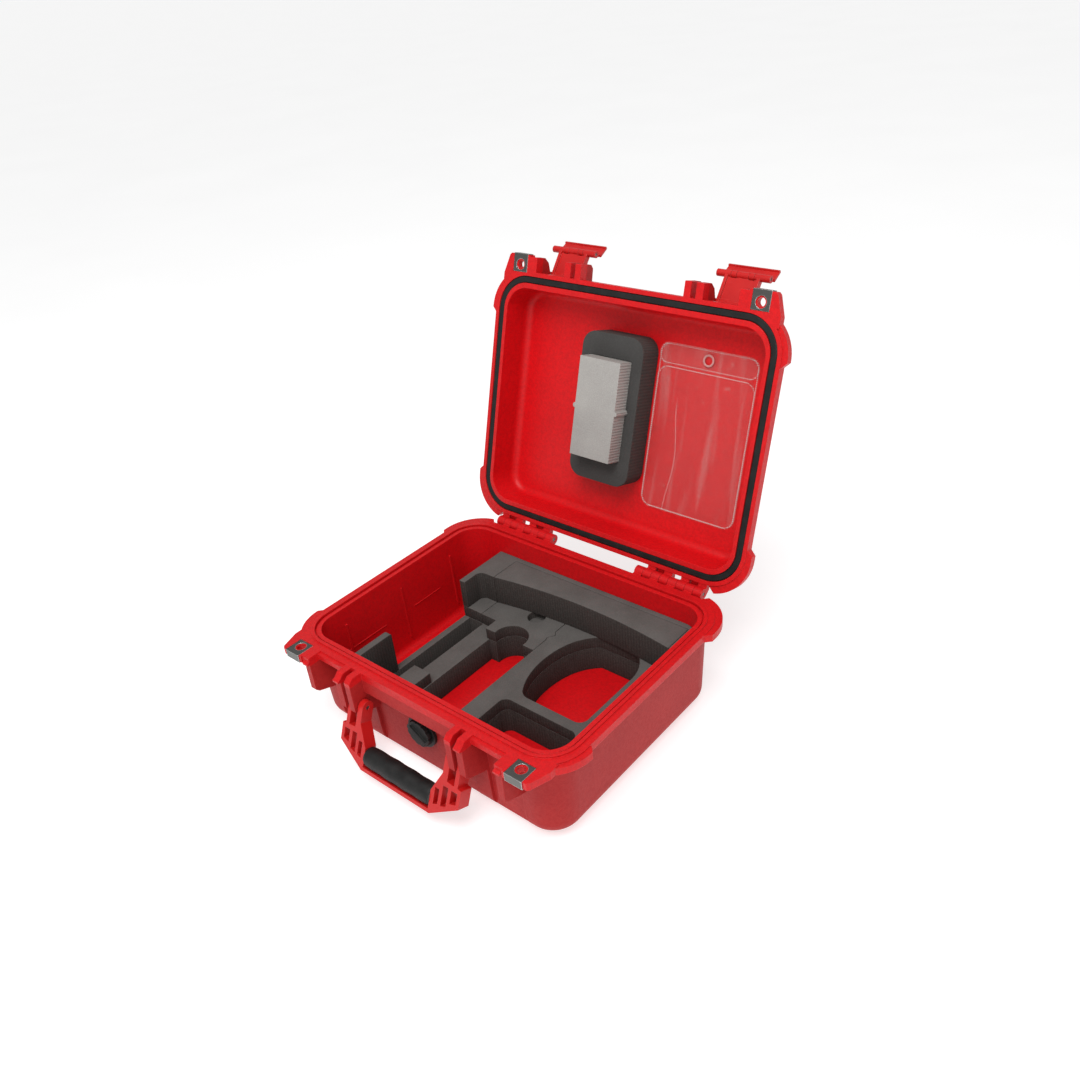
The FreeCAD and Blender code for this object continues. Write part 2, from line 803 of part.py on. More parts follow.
def latch_joint_pin():
    """The right-hand pin between link and lever, latch shut."""
    y, z = latch_joint_shut()
    half = barrel_half_x - latch_pin_recess
    return rod(latch_pin_r, latch_x - half, latch_x + half, y, z)


def latch_pivot_pin():
    """The right-hand pin that carries the link on the lid ears."""
    return rod(latch_pin_r, ear_outer_x + latch_pin_recess, web_end_x - latch_pin_recess,
               -latch_pivot_y, rim_z + latch_pivot_rise)


# ---------------------------------------------------------------- handle

def leaned(shape):
    """Lean the hanging handle forward to its rest position."""
    turned = shape.copy()
    turned.rotate(Vector(0, -handle_pivot_y, rim_z - handle_pivot_drop), Vector(1, 0, 0), -handle_lean)
    return turned


def handle_profile(points):
    """An outline in X and hanging depth, pushed through the handle's thickness."""
    pivot_z = rim_z - handle_pivot_drop
    y = -handle_pivot_y - handle_half_y
    corners = [Vector(x, y, pivot_z - depth) for x, depth in points]
    return Part.Face(Part.makePolygon(corners + corners[:1])).extrude(Vector(0, 2.0 * handle_half_y, 0))


def handle_frame():
    """The stiff frame: eyes on both sides of each inner ear, end blocks and the bar under the grip."""
    pivot_z = rim_z - handle_pivot_drop
    plate_x = ear_inner_x - handle_side_gap
    slot_x0 = ear_slot_x + handle_side_gap
    slot_x1 = ear_outer_x - handle_side_gap
    outer = [(handle_grip_half_x, grip_top + 1.0), (handle_plate_in_x, 14.0), (handle_plate_in_x, handle_shoulder)]
    outer += [(handle_half_x, handle_shoulder + 2.0), (handle_half_x, handle_chamfer_top)]
    outer += [(handle_bottom_half_x, handle_bottom), (handle_grip_half_x, handle_bottom)]
    pieces = both_sides(handle_profile(outer))
    for x0, x1 in ((handle_plate_in_x, plate_x), (slot_x0, slot_x1)):
        eye = rod(handle_eye_r, x0, x1, -handle_pivot_y, pivot_z)
        strap = block(x0, x1, -handle_pivot_y - handle_half_y, -handle_pivot_y + handle_half_y,
                      pivot_z - handle_shoulder - 4.0, pivot_z)
        pieces += both_sides(eye.fuse(strap))
    rim_bar = [(-handle_bottom_half_x, handle_bottom - handle_rim), (handle_bottom_half_x, handle_bottom - handle_rim)]
    rim_bar += [(handle_bottom_half_x, handle_bottom), (-handle_bottom_half_x, handle_bottom)]
    pieces.append(handle_profile(rim_bar))
    pieces.append(handle_core())
    frame = join(pieces)
    tools = []
    for x0, x1, top, low in ((46.5, 51.5, 30.0, 46.0), (55.0, 61.0, 24.5, 44.0), (64.5, 71.5, 25.0, 37.5)):
        tools += both_sides(handle_profile([(x0, top), (x1, top), (x1, low - 2.0), (x0, low)]))
    tools += both_sides(rod(handle_pin_r + running_gap, handle_plate_in_x - 1, ear_outer_x, -handle_pivot_y, pivot_z))
    return tools_off(frame, tools)


def handle_core():
    """The straight bar inside the grip."""
    pivot_z = rim_z - handle_pivot_drop
    return block(-handle_grip_half_x - 2.0, handle_grip_half_x + 2.0,
                 -handle_pivot_y - core_half_y, -handle_pivot_y + core_half_y,
                 pivot_z - core_bottom, pivot_z - core_top)


def handle_grip():
    """The rubber sleeve, with three shallow finger waists."""
    pivot_z = rim_z - handle_pivot_drop
    low = handle_bottom - handle_rim
    centre_z = pivot_z - (grip_top + low) / 2.0
    half_z = (low - grip_top) / 2.0
    wires = []
    sections = 7
    for number in range(sections):
        x = -handle_grip_half_x + 2.0 * handle_grip_half_x * number / (sections - 1)
        pinch = grip_waist if number % 2 == 0 else 0.0
        outline = rounded_wire(half_z - pinch, grip_half_y - pinch, grip_round - pinch, 0.0)
        outline.rotate(Vector(0, 0, 0), Vector(0, 1, 0), 90)
        outline.translate(Vector(x, -handle_pivot_y, centre_z))
        wires.append(outline)
    sleeve = Part.makeLoft(wires, True, False)
    return sleeve.cut(handle_frame())


def handle_pin():
    """The right-hand handle pivot."""
    return rod(handle_pin_r, handle_plate_in_x + 0.5, ear_outer_x - handle_side_gap - 0.3,
               -handle_pivot_y, rim_z - handle_pivot_drop)


# ---------------------------------------------------------------- purge valve

def valve_face_y():
    """Y of the front panel where the valve sits, at its lowest edge so that the flange clears it."""
    low = -wall_y + base_outer_draft_y + panel_step
    high = -wall_y + panel_step
    share = (rim_z - valve_drop + valve_flange_r) / rim_z
    return low + (high - low) * share - 0.1


def valve_disc(radius, y0, y1):
    """A disc square to the front wall on the valve's axis."""
    return Part.makeCylinder(radius, abs(y1 - y0), Vector(0, min(y0, y1), rim_z - valve_drop), Vector(0, 1, 0))


def valve_body():
    """The valve's flange and threaded stem."""
    face = valve_face_y()
    inner = -opening_half_y + base_inner_draft + valve_nut_height + 3.0
    body = valve_disc(valve_flange_r, face - valve_flange_height, face)
    body = body.fuse(valve_disc(valve_stem_r, face - 0.1, inner))
    body = body.cut(valve_disc(valve_stem_r - 3.0, face - valve_flange_height + 1.0, inner + 1.0))
    groove = valve_disc(valve_seal_r + valve_seal_section, face - valve_seal_section, face + 1.0)
    groove = groove.cut(valve_disc(valve_seal_r - valve_seal_section, face - 3.0, face + 2.0))
    return body.cut(groove).removeSplitter()


def valve_seal():
    """The flat ring seal under the flange."""
    face = valve_face_y()
    seal = valve_disc(valve_seal_r + valve_seal_section, face - valve_seal_section, face)
    return seal.cut(valve_disc(valve_seal_r - valve_seal_section, face - 3.0, face + 2.0))


def valve_knob():
    """The turning cap: scalloped rim and a raised bar across it."""
    back = valve_face_y() - valve_flange_height - valve_gap
    knob = valve_disc(valve_knob_r, back - valve_knob_height, back)
    scallops = []
    count = 12
    for number in range(count):
        angle = 2.0 * math.pi * number / count
        spot = Vector((valve_knob_r + 1.0) * math.cos(angle), back - valve_knob_height - 1.0,
                      rim_z - valve_drop + (valve_knob_r + 1.0) * math.sin(angle))
        scallops.append(Part.makeCylinder(1.9, valve_knob_height + 2.0, spot, Vector(0, 1, 0)))
    knob = tools_off(knob, scallops)
    bar = Part.makeBox(2.0 * valve_knob_r - 6.0, 2.2, 4.0,
                       Vector(-valve_knob_r + 3.0, back - valve_knob_height - 2.0, rim_z - valve_drop - 2.0))
    bar.rotate(Vector(0, 0, rim_z - valve_drop), Vector(0, 1, 0), 35)
    return knob.fuse(bar).removeSplitter()


def valve_nut():
    """The nut that clamps the valve from inside."""
    seat = -opening_half_y + base_inner_draft * (valve_drop + valve_nut_across / 2.0) / base_depth + 0.2
    radius = valve_nut_across / math.sqrt(3.0)
    corners = []
    for number in range(7):
        angle = math.pi * number / 3.0
        corners.append(Vector(radius * math.cos(angle), seat, rim_z - valve_drop + radius * math.sin(angle)))
    nut = Part.Face(Part.makePolygon(corners)).extrude(Vector(0, valve_nut_height, 0))
    return nut.cut(valve_disc(valve_stem_r, seat - 1.0, seat + valve_nut_height + 1.0))


# ---------------------------------------------------------------- foam in the base

def bar_front_face(low, high, back_y):
    """The plan area from the hollowed front of the back bar to the given Y, between two heights."""
    left = Vector(-bar_left_x, bar_end_y, low)
    middle = Vector(bar_mid_x, bar_mid_y, low)
    right = Vector(opening_half_x, bar_end_y - 1.5, low)
    arc = Part.Arc(left, middle, right).toShape()
    back_right = Vector(opening_half_x, back_y, low)
    back_left = Vector(-bar_left_x, back_y, low)
    edges = [arc, Part.LineSegment(right, back_right).toShape()]
    edges.append(Part.LineSegment(back_right, back_left).toShape())
    edges.append(Part.LineSegment(back_left, left).toShape())
    return Part.Face(Part.Wire(edges)).extrude(Vector(0, 0, high - low))


def bowl_tool(low, high):
    """The large rounded cut-out on the right."""
    points = [(45.0, 82.0), (28.0, 62.0), (bowl_left_x, 28.0), (24.0, -3.0), (33.0, -22.0)]
    curve = Part.BSplineCurve()
    curve.interpolate([Vector(x, y, low) for x, y in points])
    start = Vector(45.0, 82.0, low)
    end = Vector(33.0, -22.0, low)
    corner = Vector(43.0, -bowl_front_y, low)
    right_low = Vector(bowl_right_x - 9.0, -bowl_front_y, low)
    right_bend = Vector(bowl_right_x - 2.6, -bowl_front_y + 2.6, low)
    right_up = Vector(bowl_right_x, -bowl_front_y + 9.0, low)
    right_mid = Vector(bowl_right_x, 48.0, low)
    right_arc = Vector(bowl_right_x - 4.5, 67.0, low)
    right_top = Vector(bowl_right_x - 16.0, 82.0, low)
    edges = [
        curve.toShape(),
        Part.Arc(end, Vector(37.6, -25.6, low), corner).toShape(),
        Part.LineSegment(corner, right_low).toShape(),
        Part.Arc(right_low, right_bend, right_up).toShape(),
        Part.LineSegment(right_up, right_mid).toShape(),
        Part.Arc(right_mid, right_arc, right_top).toShape(),
        Part.LineSegment(right_top, start).toShape(),
    ]
    return Part.Face(Part.Wire(edges)).extrude(Vector(0, 0, high - low))


def keyhole_tool(low, high):
    """The round end of the channel."""
    return Part.makeCylinder(keyhole_r, high - low, Vector(-keyhole_x, keyhole_y, low))


def foam_space(low_drop, high_drop):
    """The foam's share of the base's inside, between two drops below the rim."""
    reach = opening_half_x + 5.0
    layer = block(-foam_left_x, reach, -foam_front_y, reach, rim_z - low_drop, rim_z - high_drop)
    return layer.common(base_inside(foam_gap))


def foam_bottom_sheet():
    """The sheet on the floor, with the slot, the channel, the bowl and the pocket cut through."""
    low = rim_z - base_depth
    high = rim_z - foam_low_drop
    sheet = foam_space(base_depth, foam_low_drop)
    tools = [block(-slot_left_x, -slot_right_x, -channel_front_y, slot_back_y, low + 3.0, high + 1)]
    tools.append(block(-channel_left_x, seam_x, -channel_front_y, keyhole_mouth_y, low - 1, high + 1))
    tools.append(keyhole_tool(low - 1, high + 1))
    tools.append(bowl_tool(low - 1, high + 1))
    tools.append(pocket_tool(low - 1, high + 1))
    return tools_off(sheet, tools)


def pocket_tool(low, high):
    """The rectangular pocket at the front right."""
    return span_slab((pocket_left_x, pocket_right_x), (-pocket_front_y, -pocket_back_y), pocket_corner, low, high)


def seam_line(extra):
    """The jigsaw seam between the two upper sheets, shifted by extra."""
    return [(seam_x + extra, -foam_front_y), (seam_x + extra, 49.0), (seam_x + extra - 1.5, 53.0),
            (seam_x + extra + 3.5, 60.0), (seam_x + extra, 65.0), (seam_x + extra, opening_half_y)]


def foam_left_sheet():
    """The upper left sheet with the keyhole."""
    low = rim_z - foam_low_drop
    high = rim_z - foam_mid_drop
    points = [(-slot_right_x, arm_front_y), (-arm_right_x, arm_front_y), (-arm_right_x, keyhole_mouth_y)]
    points += [(seam_x, keyhole_mouth_y)] + seam_line(0.0)[1:] + [(-slot_right_x, opening_half_y)]
    sheet = plan_prism(points, low, high).common(foam_space(foam_low_drop, foam_mid_drop))
    cutter = finger_notch(low, high)
    return tools_off(sheet, [keyhole_tool(low - 1, high + 1), cutter])


def finger_notch(low, high):
    """The half-round finger notch at the foot of the back bar."""
    return Part.makeCylinder(notch_r, high - low, Vector(-notch_x, bar_end_y + 3.6, low + 5.0))


def foam_right_sheet():
    """The upper right sheet with the bowl and the pocket."""
    low = rim_z - foam_low_drop
    high = rim_z - foam_mid_drop
    reach = opening_half_x
    points = seam_line(foam_gap) + [(reach, opening_half_y), (reach, -foam_front_y)]
    sheet = plan_prism(points, low, high).common(foam_space(foam_low_drop, foam_mid_drop))
    return tools_off(sheet, [bowl_tool(low - 1, high + 1), pocket_tool(low - 1, high + 1)])


def foam_small_block():
    """The small raised block at the front of the narrow bar."""
    left, right, front, back = small_block
    return block(-left, -right, -front, -back, rim_z - foam_low_drop, rim_z - foam_mid_drop - 1.0)


def foam_back_bar():
    """The tall bar along the back with a hollowed front face."""
    low = rim_z - foam_mid_drop
    high = rim_z - foam_top_drop
    bar = bar_front_face(low, high, opening_half_y - 3.0 - surround_back)
    keep = block(-bar_left_x + foam_gap, bar_right_x, 0.0, opening_half_y, low, high)
    return bar.common(keep)


def foam_surround():
    """The frame round the back bar: left post, back strip and right end."""
    low = rim_z - foam_mid_drop
    high = rim_z - foam_top_drop
    whole = foam_space(foam_mid_drop, foam_top_drop)
    back = block(-foam_left_x, opening_half_x, opening_half_y - 3.0 - surround_back + foam_gap, opening_half_y, low, high)
    end = bar_front_face(low, high, opening_half_y).common(
        block(bar_right_x + foam_gap, opening_half_x, 0.0, opening_half_y, low, high))
    post = block(-foam_left_x, -bar_left_x, bar_end_y, opening_half_y, low, high)
    wall = block(-foam_left_x, -foam_left_x + post_wall, post_front_y, bar_end_y + 1.0, low, high)
    inside = -foam_left_x + post_wall
    cove = block(inside - 0.1, inside + cove_r, bar_end_y - cove_r, bar_end_y, low, high)
    cove = cove.cut(Part.makeCylinder(cove_r, high - low, Vector(inside + cove_r, bar_end_y - cove_r, low)))
    return join([back, end, post, wall, cove]).common(whole)


def foam_post_base():
    """The filler under the left post, beside the upper left sheet."""
    part = block(-foam_left_x, -slot_right_x - foam_gap, slot_back_y + 0.2, opening_half_y,
                 rim_z - foam_low_drop, rim_z - foam_mid_drop)
    return part.common(foam_space(foam_low_drop, foam_mid_drop))


def foam_front_post():
    """The angled upright at the front left."""
    low = rim_z - foam_low_drop
    high = rim_z - foam_top_drop
    end = -foam_front_y + front_post_length
    wall = block(-foam_left_x, -foam_left_x + post_wall, -foam_front_y, end, low, high)
    leg = block(-foam_left_x, -slot_right_x - foam_gap, -foam_front_y, -channel_front_y, low, high)
    wall = round_level_edges(wall.fuse(leg).removeSplitter(), end, high)
    return wall.common(foam_space(foam_low_drop, foam_top_drop))


def round_level_edges(shape, y, z):
    """Soften the top back edge of an upright."""
    edges = [e for e in shape.Edges if abs(e.BoundBox.YMin - y) < 1e-3 and abs(e.BoundBox.ZMin - z) < 1e-3]
    return shape.makeFillet(post_edge_round, edges)


# ---------------------------------------------------------------- lid contents

def lid_pad():
    """The dark foam pad fixed inside the lid, with a pocket for its insert."""
    top = rim_z + lid_depth
    pad = span_slab(pad_x, pad_y, pad_corner, top - pad_height, top)
    pocket = insert_shape(insert_gap, top - pad_height - 1.0, top - pad_height + insert_seat)
    return pad.cut(pocket)


def insert_shape(extra, low, high):
    """The insert's plan with its two side nibs, grown by extra."""
    body = block(insert_x[0] - extra, insert_x[1] + extra, insert_y[0] - extra, insert_y[1] + extra, low, high)
    nibs = [Part.makeCylinder(nib_r + extra, high - low, Vector(x, nib_y, low)) for x in insert_x]
    return join([body] + nibs)


def lid_insert():
    """The pale foam insert that stands out of the pad."""
    top = rim_z + lid_depth
    return insert_shape(0.0, rim_z - insert_top, top - pad_height + insert_seat - insert_gap)


def pouch_layer(number, y_span):
    """One clear sheet of the document pouch."""
    high = rim_z + lid_depth - pouch_gap - number * (pouch_sheet + 0.1)
    return span_slab(pouch_x, y_span, pouch_corner, high - pouch_sheet, high)


def pouch_back():
    """The sheet against the lid."""
    return pouch_layer(0, pouch_y)


def pouch_front():
    """The front sheet that makes the pocket."""
    return pouch_layer(1, (pouch_y[0] + flap_width + 1.0, pouch_y[1]))


def pouch_flap():
    """The closing strip at the mouth of the pouch."""
    strip = span_slab(pouch_x, (pouch_y[0], pouch_y[0] + flap_width), flap_width / 2.0 - 1.0,
                      rim_z + lid_depth - pouch_gap - 2.0 * pouch_sheet - 0.1,
                      rim_z + lid_depth - pouch_gap - pouch_sheet - 0.1)
    return strip.cut(snap_disc(snap_hole_r, 10.0))


def snap_disc(radius, height):
    """A disc on the snap's axis, hanging from the flap level."""
    high = rim_z + lid_depth - pouch_gap - 2.0 * pouch_sheet - 0.2
    low = high - height
    if height > snap_height:
        high += 5.0
    return Part.makeCylinder(radius, high - low, Vector(snap_x, pouch_y[0] + flap_width / 2.0, low))


def pouch_snap():
    """The ring-shaped snap on the flap."""
    return snap_disc(snap_r, snap_height).cut(snap_disc(snap_hole_r, 10.0))


# ---------------------------------------------------------------- all nodes

def save_pair(shape, name):
    """A right-hand piece and its left-hand copy."""
    save(shape, name + "_right")
    save(mirrored(shape), name + "_left")


save(base_shell(), "base_shell")
save(opened(lid_shell()), "lid_shell")
save(opened(lid_gasket()), "lid_gasket")
save_pair(hinge_pin(), "hinge_pin")
save_pair(latch_swung(latch_link(), False), "latch_link")
save_pair(latch_swung(latch_lever(), True), "latch_lever")
save_pair(latch_swung(latch_joint_pin(), False), "latch_joint_pin")
save_pair(opened(latch_pivot_pin()), "latch_pivot_pin")
save(leaned(handle_frame()), "handle_frame")
save(leaned(handle_grip()), "handle_grip")
save_pair(handle_pin(), "handle_pin")
save(valve_body(), "valve_body")
save(valve_seal(), "valve_seal")
save(valve_knob(), "valve_knob")
save(valve_nut(), "valve_nut")
save_pair(padlock_guard(rim_z - rim_step, -1.0), "base_padlock_guard")
save_pair(opened(padlock_guard(rim_z, 1.0)), "lid_padlock_guard")
save(foam_bottom_sheet(), "foam_bottom_sheet")
save(foam_left_sheet(), "foam_left_sheet")
save(foam_right_sheet(), "foam_right_sheet")
save(foam_small_block(), "foam_small_block")
save(foam_post_base(), "foam_post_base")
save(foam_surround(), "foam_surround")
save(foam_back_bar(), "foam_back_bar")
save(foam_front_post(), "foam_front_post")
save(opened(lid_pad()), "lid_foam_pad")
save(opened(lid_insert()), "lid_foam_insert")
save(opened(pouch_back()), "pouch_back_sheet")
save(opened(pouch_front()), "pouch_front_sheet")
save(opened(pouch_flap()), "pouch_flap")
save(opened(pouch_snap()), "pouch_snap")
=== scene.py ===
# %% [markdown]
# # Painting a hard carrying case
# The case is a solid made elsewhere: two red shells, latches, a handle and cut foam. Here it gets its
# finish: moulded plastic, foam with open cells, brushed steel, rubber and clear film. Soft pieces are
# remodelled as well. We begin by loading the frame.

# %% Load the frame
import bpy
import json
import math
from mathutils import Matrix, Vector


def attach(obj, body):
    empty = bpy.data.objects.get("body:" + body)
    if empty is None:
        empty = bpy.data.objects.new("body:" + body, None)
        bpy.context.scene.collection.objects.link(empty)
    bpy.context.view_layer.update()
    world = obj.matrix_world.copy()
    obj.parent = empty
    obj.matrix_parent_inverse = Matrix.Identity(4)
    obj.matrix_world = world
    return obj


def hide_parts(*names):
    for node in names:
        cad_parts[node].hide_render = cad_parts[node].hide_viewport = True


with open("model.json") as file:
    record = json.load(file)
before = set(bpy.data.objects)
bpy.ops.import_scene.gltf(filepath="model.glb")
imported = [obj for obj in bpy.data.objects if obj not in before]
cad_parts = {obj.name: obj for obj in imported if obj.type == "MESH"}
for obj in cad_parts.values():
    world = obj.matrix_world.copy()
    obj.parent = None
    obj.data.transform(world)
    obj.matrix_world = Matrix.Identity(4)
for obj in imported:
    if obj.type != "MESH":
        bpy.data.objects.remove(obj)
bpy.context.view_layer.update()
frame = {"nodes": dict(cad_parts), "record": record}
nodes = frame["nodes"]
joints = {joint["name"]: joint for joint in frame["record"]["behaviour"]["joints"]}

# %% [markdown]
# ## Where things are
# The lid's joint says where the hinge line runs and how far the lid has swung. The rim, where the two
# shells meet, lies a little above that line. Knowing the swing, a pattern can be laid on the open lid as if
# it were shut, which keeps its lines straight and lets both shells share one recipe.

# %% Measure the rim and the hinge
rim_over_hinge = 0.00297
hinge = Vector(joints["lid_hinge"]["pos_m"])
rim_height = hinge.z + rim_over_hinge
lid_swing = math.radians(joints["lid_hinge"]["range_deg"][1])
shut_turn = Matrix.Rotation(lid_swing, 4, "X")
shut_shift = hinge - shut_turn @ hinge
print("rim at", round(rim_height, 4), "m, lid open by", round(math.degrees(lid_swing), 1), "degrees")

# %% [markdown]
# ## Sums on sockets
# Blender's shader nodes do arithmetic one node at a time, which is slow to read. A small class wraps one
# socket and gives it plus, minus, times and so on, so that `1 - mask * 0.5` adds its Math nodes by itself.
# A number may stand on either side, which is why each operator has a reflected form.

# %% A socket that takes part in sums
class Tone:
    """One socket of a recipe; sums on it add Math nodes."""

    def __init__(self, recipe, socket):
        self.recipe = recipe
        self.socket = socket

    def math(self, operation, *values):
        sockets = dict(enumerate((self,) + values))
        return self.recipe.add("ShaderNodeMath", {"operation": operation}, sockets)

    def math_after(self, number, operation):
        """A sum in which a plain number comes first, as in 1 - mask."""
        return self.recipe.add("ShaderNodeMath", {"operation": operation}, {0: number, 1: self})

    def __add__(self, other):
        return self.math("ADD", other)

    def __sub__(self, other):
        return self.math("SUBTRACT", other)

    def __rsub__(self, number):
        return self.math_after(number, "SUBTRACT")

    def __mul__(self, other):
        return self.math("MULTIPLY", other)

    def __truediv__(self, other):
        return self.math("DIVIDE", other)

    def __rtruediv__(self, number):
        return self.math_after(number, "DIVIDE")

    def clamped(self):
        return self.recipe.add("ShaderNodeClamp", {}, {"Value": self})

    def step(self, low, high):
        """0 below low, 1 above high, and a straight ramp between them."""
        return ((self - low) / (high - low)).clamped()

    __radd__ = __add__
    __rmul__ = __mul__

print("a socket can now be added, subtracted, multiplied and divided")

# %% [markdown]
# ## One material as a recipe
# Every finish below is a Principled shader with nodes in front of it. The nodes could be placed by hand in
# the Shader Editor, but a recipe in code is easier to read and to change. One method, `add`, makes any kind
# of node: type first, then settings, then sockets. The others are short names for what the finishes use
# most.

# %% A recipe: one material being mixed
class Recipe:
    """A material with a Principled shader, and the one method that adds nodes to it."""

    def __init__(self, name, **constants):
        self.material = bpy.data.materials.new(name)
        self.material.use_nodes = True
        self.tree = self.material.node_tree
        self.shader = self.tree.nodes["Principled BSDF"]
        for socket, value in constants.items():
            self.shader.inputs[socket.replace("_", " ")].default_value = value

    def add(self, kind, settings=None, sockets=None, out=0):
        """Add a node; each of its sockets gets a value, or a link from a tone."""
        node = self.tree.nodes.new(kind)
        for key, value in (settings or {}).items():
            setattr(node, key, value)
        for key, value in (sockets or {}).items():
            if isinstance(value, Tone):
                self.tree.links.new(value.socket, node.inputs[key])
            else:
                node.inputs[key].default_value = value
        return Tone(self, node.outputs[out])

    def place(self, shut=False):
        """Object coordinates, on request as they are with the lid shut."""
        here = self.add("ShaderNodeTexCoord", out="Object")
        if not shut:
            return here
        sockets = {"Vector": here, "Location": shut_shift, "Rotation": (lid_swing, 0.0, 0.0)}
        return self.add("ShaderNodeMapping", {}, sockets)

    def stretched(self, place, scale):
        """A place with its axes scaled, so that a pattern on it grows long and thin."""
        return self.add("ShaderNodeMapping", {}, {"Vector": place, "Scale": scale})

    def axes(self, place):
        """The x, y and z of a place, each as its own tone."""
        split = self.add("ShaderNodeSeparateXYZ", {}, {0: place})
        return [Tone(self, output) for output in split.socket.node.outputs]

    def past_straight(self, x, y, straight_x, straight_y):
        """How far a spot lies outside a rectangle round the middle, 0 within it."""
        out_x = (x.math("ABSOLUTE") - straight_x).math("MAXIMUM", 0.0)
        out_y = (y.math("ABSOLUTE") - straight_y).math("MAXIMUM", 0.0)
        return (out_x * out_x + out_y * out_y).math("SQRT")

    def noise(self, place, scale, detail, rough=0.55):
        sockets = {"Vector": place, "Scale": scale, "Detail": detail, "Roughness": rough}
        return self.add("ShaderNodeTexNoise", {}, sockets)

    def cells(self, place, scale):
        return self.add("ShaderNodeTexVoronoi", {}, {"Vector": place, "Scale": scale})

    def blend(self, share, first, second):
        return self.add("ShaderNodeMix", {"data_type": "RGBA"}, {0: share, 6: first, 7: second}, out=2)

    def bump(self, height, depth, strength, normal=None):
        sockets = {"Height": height, "Distance": depth, "Strength": strength}
        if normal:
            sockets["Normal"] = normal
        return self.add("ShaderNodeBump", {}, sockets)

    def edge_wear_and_highlight(self, radius):
        """How much each spot belongs to a sharp edge, from 0 to 1, and the softened normal."""
        soft = self.add("ShaderNodeBevel", {"samples": 4}, {"Radius": radius})
        hard = self.add("ShaderNodeNewGeometry", out="True Normal")
        along = self.add("ShaderNodeVectorMath", {"operation": "DOT_PRODUCT"}, {0: soft, 1: hard}, out=1)
        # This mask paints edges paler: partly wear, partly a painted highlight.
        hardly_bent, well_bent = 0.005, 0.12
        return (1.0 - along).step(hardly_bent, well_bent), soft

    def feed(self, **sockets):
        """Link tones to the shader's sockets, and hand over the material."""
        for socket, value in sockets.items():
            self.tree.links.new(value.socket, self.shader.inputs[socket.replace("_", " ")])
        return self.material

print("recipes can add noise, cells, blends, bumps and worn edges")

# %% [markdown]
# ## Inside or outside of a shell
# The shells are injection moulded. The outside has a fine leather-like grain and a duller, pinkish red
# whose pink haze is painted glare, and the inside is smoother and of a deeper red. Faces could be picked
# one by one for two materials. Here masks do it instead: one from the opening's rounded outline and its
# height, and one for the band of ridges along the rim. A mask needs no picking, and it can fade softly.

# %% Masks for the shells
opening_straight_x = 0.1252
opening_straight_y = 0.0887
opening_corner = 0.0250
wall_fade = 0.0006
level_fade = 0.001
rim_full = 0.0095
rim_none = 0.0105

def shell_masks(recipe, place, inside_low, inside_high):
    """Two masks: 1 on the walls inside the opening, and 1 along the rim."""
    x, y, z = recipe.axes(place)
    reach = recipe.past_straight(x, y, opening_straight_x, opening_straight_y)
    inside = (opening_corner - reach).step(0.0, wall_fade)
    inside = inside * (z - inside_low).step(-level_fade, level_fade)
    inside = inside * (inside_high - z).step(-level_fade, level_fade)
    rim = 1.0 - (z - rim_height).math("ABSOLUTE").step(rim_full, rim_none)
    return inside, rim

opening_reach = (opening_straight_x + opening_corner, opening_straight_y + opening_corner)
print("opening reaches", [round(reach, 4) for reach in opening_reach], "m from the middle")

# %% [markdown]
# ## Moulded red plastic
# The colour starts from two reds for inside and outside, each a little cloudy; the outside's pinkish haze
# is painted glare. A darker mottle gives the plastic its depth, and the edges are a paler red, partly wear
# from handling and partly a painted highlight. The grain is a pattern of tiny cells: as a bump it is
# enough, since no one could see it in the outline, and cutting it into the mesh would cost millions of
# faces.

# %% The shell's finish
def moulded_red(name, shut, inside_low, inside_high):
    recipe = Recipe(name, Specular_IOR_Level=0.20)
    place = recipe.place(shut)
    inside, rim = shell_masks(recipe, place, inside_low, inside_high)
    walls = (1.0 - inside) * (1.0 - rim * 0.8)
    grain = recipe.cells(place, 900.0)
    cloud = recipe.noise(place, 22.0, 4.0)
    flow = recipe.noise(place, 300.0, 2.0)
    mottle = recipe.noise(place, 300.0, 5.0, 0.85).step(0.42, 0.60)
    worn_and_lit, soft_normal = recipe.edge_wear_and_highlight(0.0007)
    deep = recipe.blend(cloud, (0.60, 0.004, 0.007, 1.0), (0.72, 0.007, 0.010, 1.0))
    # The outside red: the plastic's own red, with a pinkish haze that is painted glare.
    outside_red_and_glare = recipe.blend(cloud, (0.34, 0.010, 0.010, 1.0), (0.47, 0.024, 0.022, 1.0))
    colour = recipe.blend(walls, deep, outside_red_and_glare)
    colour = recipe.blend(mottle * (0.36 + walls * 0.12), colour, (0.30, 0.006, 0.008, 1.0))
    # Paler edges: partly wear, partly a painted highlight.
    colour = recipe.blend(worn_and_lit * 0.40, colour, (0.86, 0.030, 0.032, 1.0))
    rough = 0.34 + walls * 0.20 + (flow - 0.5) * 0.10 - worn_and_lit * 0.08
    relief = recipe.bump(grain * (0.35 + walls * 0.65), 0.00016, 0.6, soft_normal)
    relief = recipe.bump(mottle, 0.00012, 0.35, relief)
    relief = recipe.bump(cloud, 0.0006, 0.18, relief)
    return recipe.feed(Base_Color=colour, Roughness=rough, Normal=relief)

base_floor = 0.0055
above_base = rim_height + 0.05
below_lid = rim_height - 0.01
lid_roof = rim_height + 0.0355
base_red = moulded_red("moulded_red_base", shut=False, inside_low=base_floor, inside_high=above_base)
lid_red = moulded_red("moulded_red_lid", shut=True, inside_low=below_lid, inside_high=lid_roof)
print("mixed", base_red.name, "and", lid_red.name)
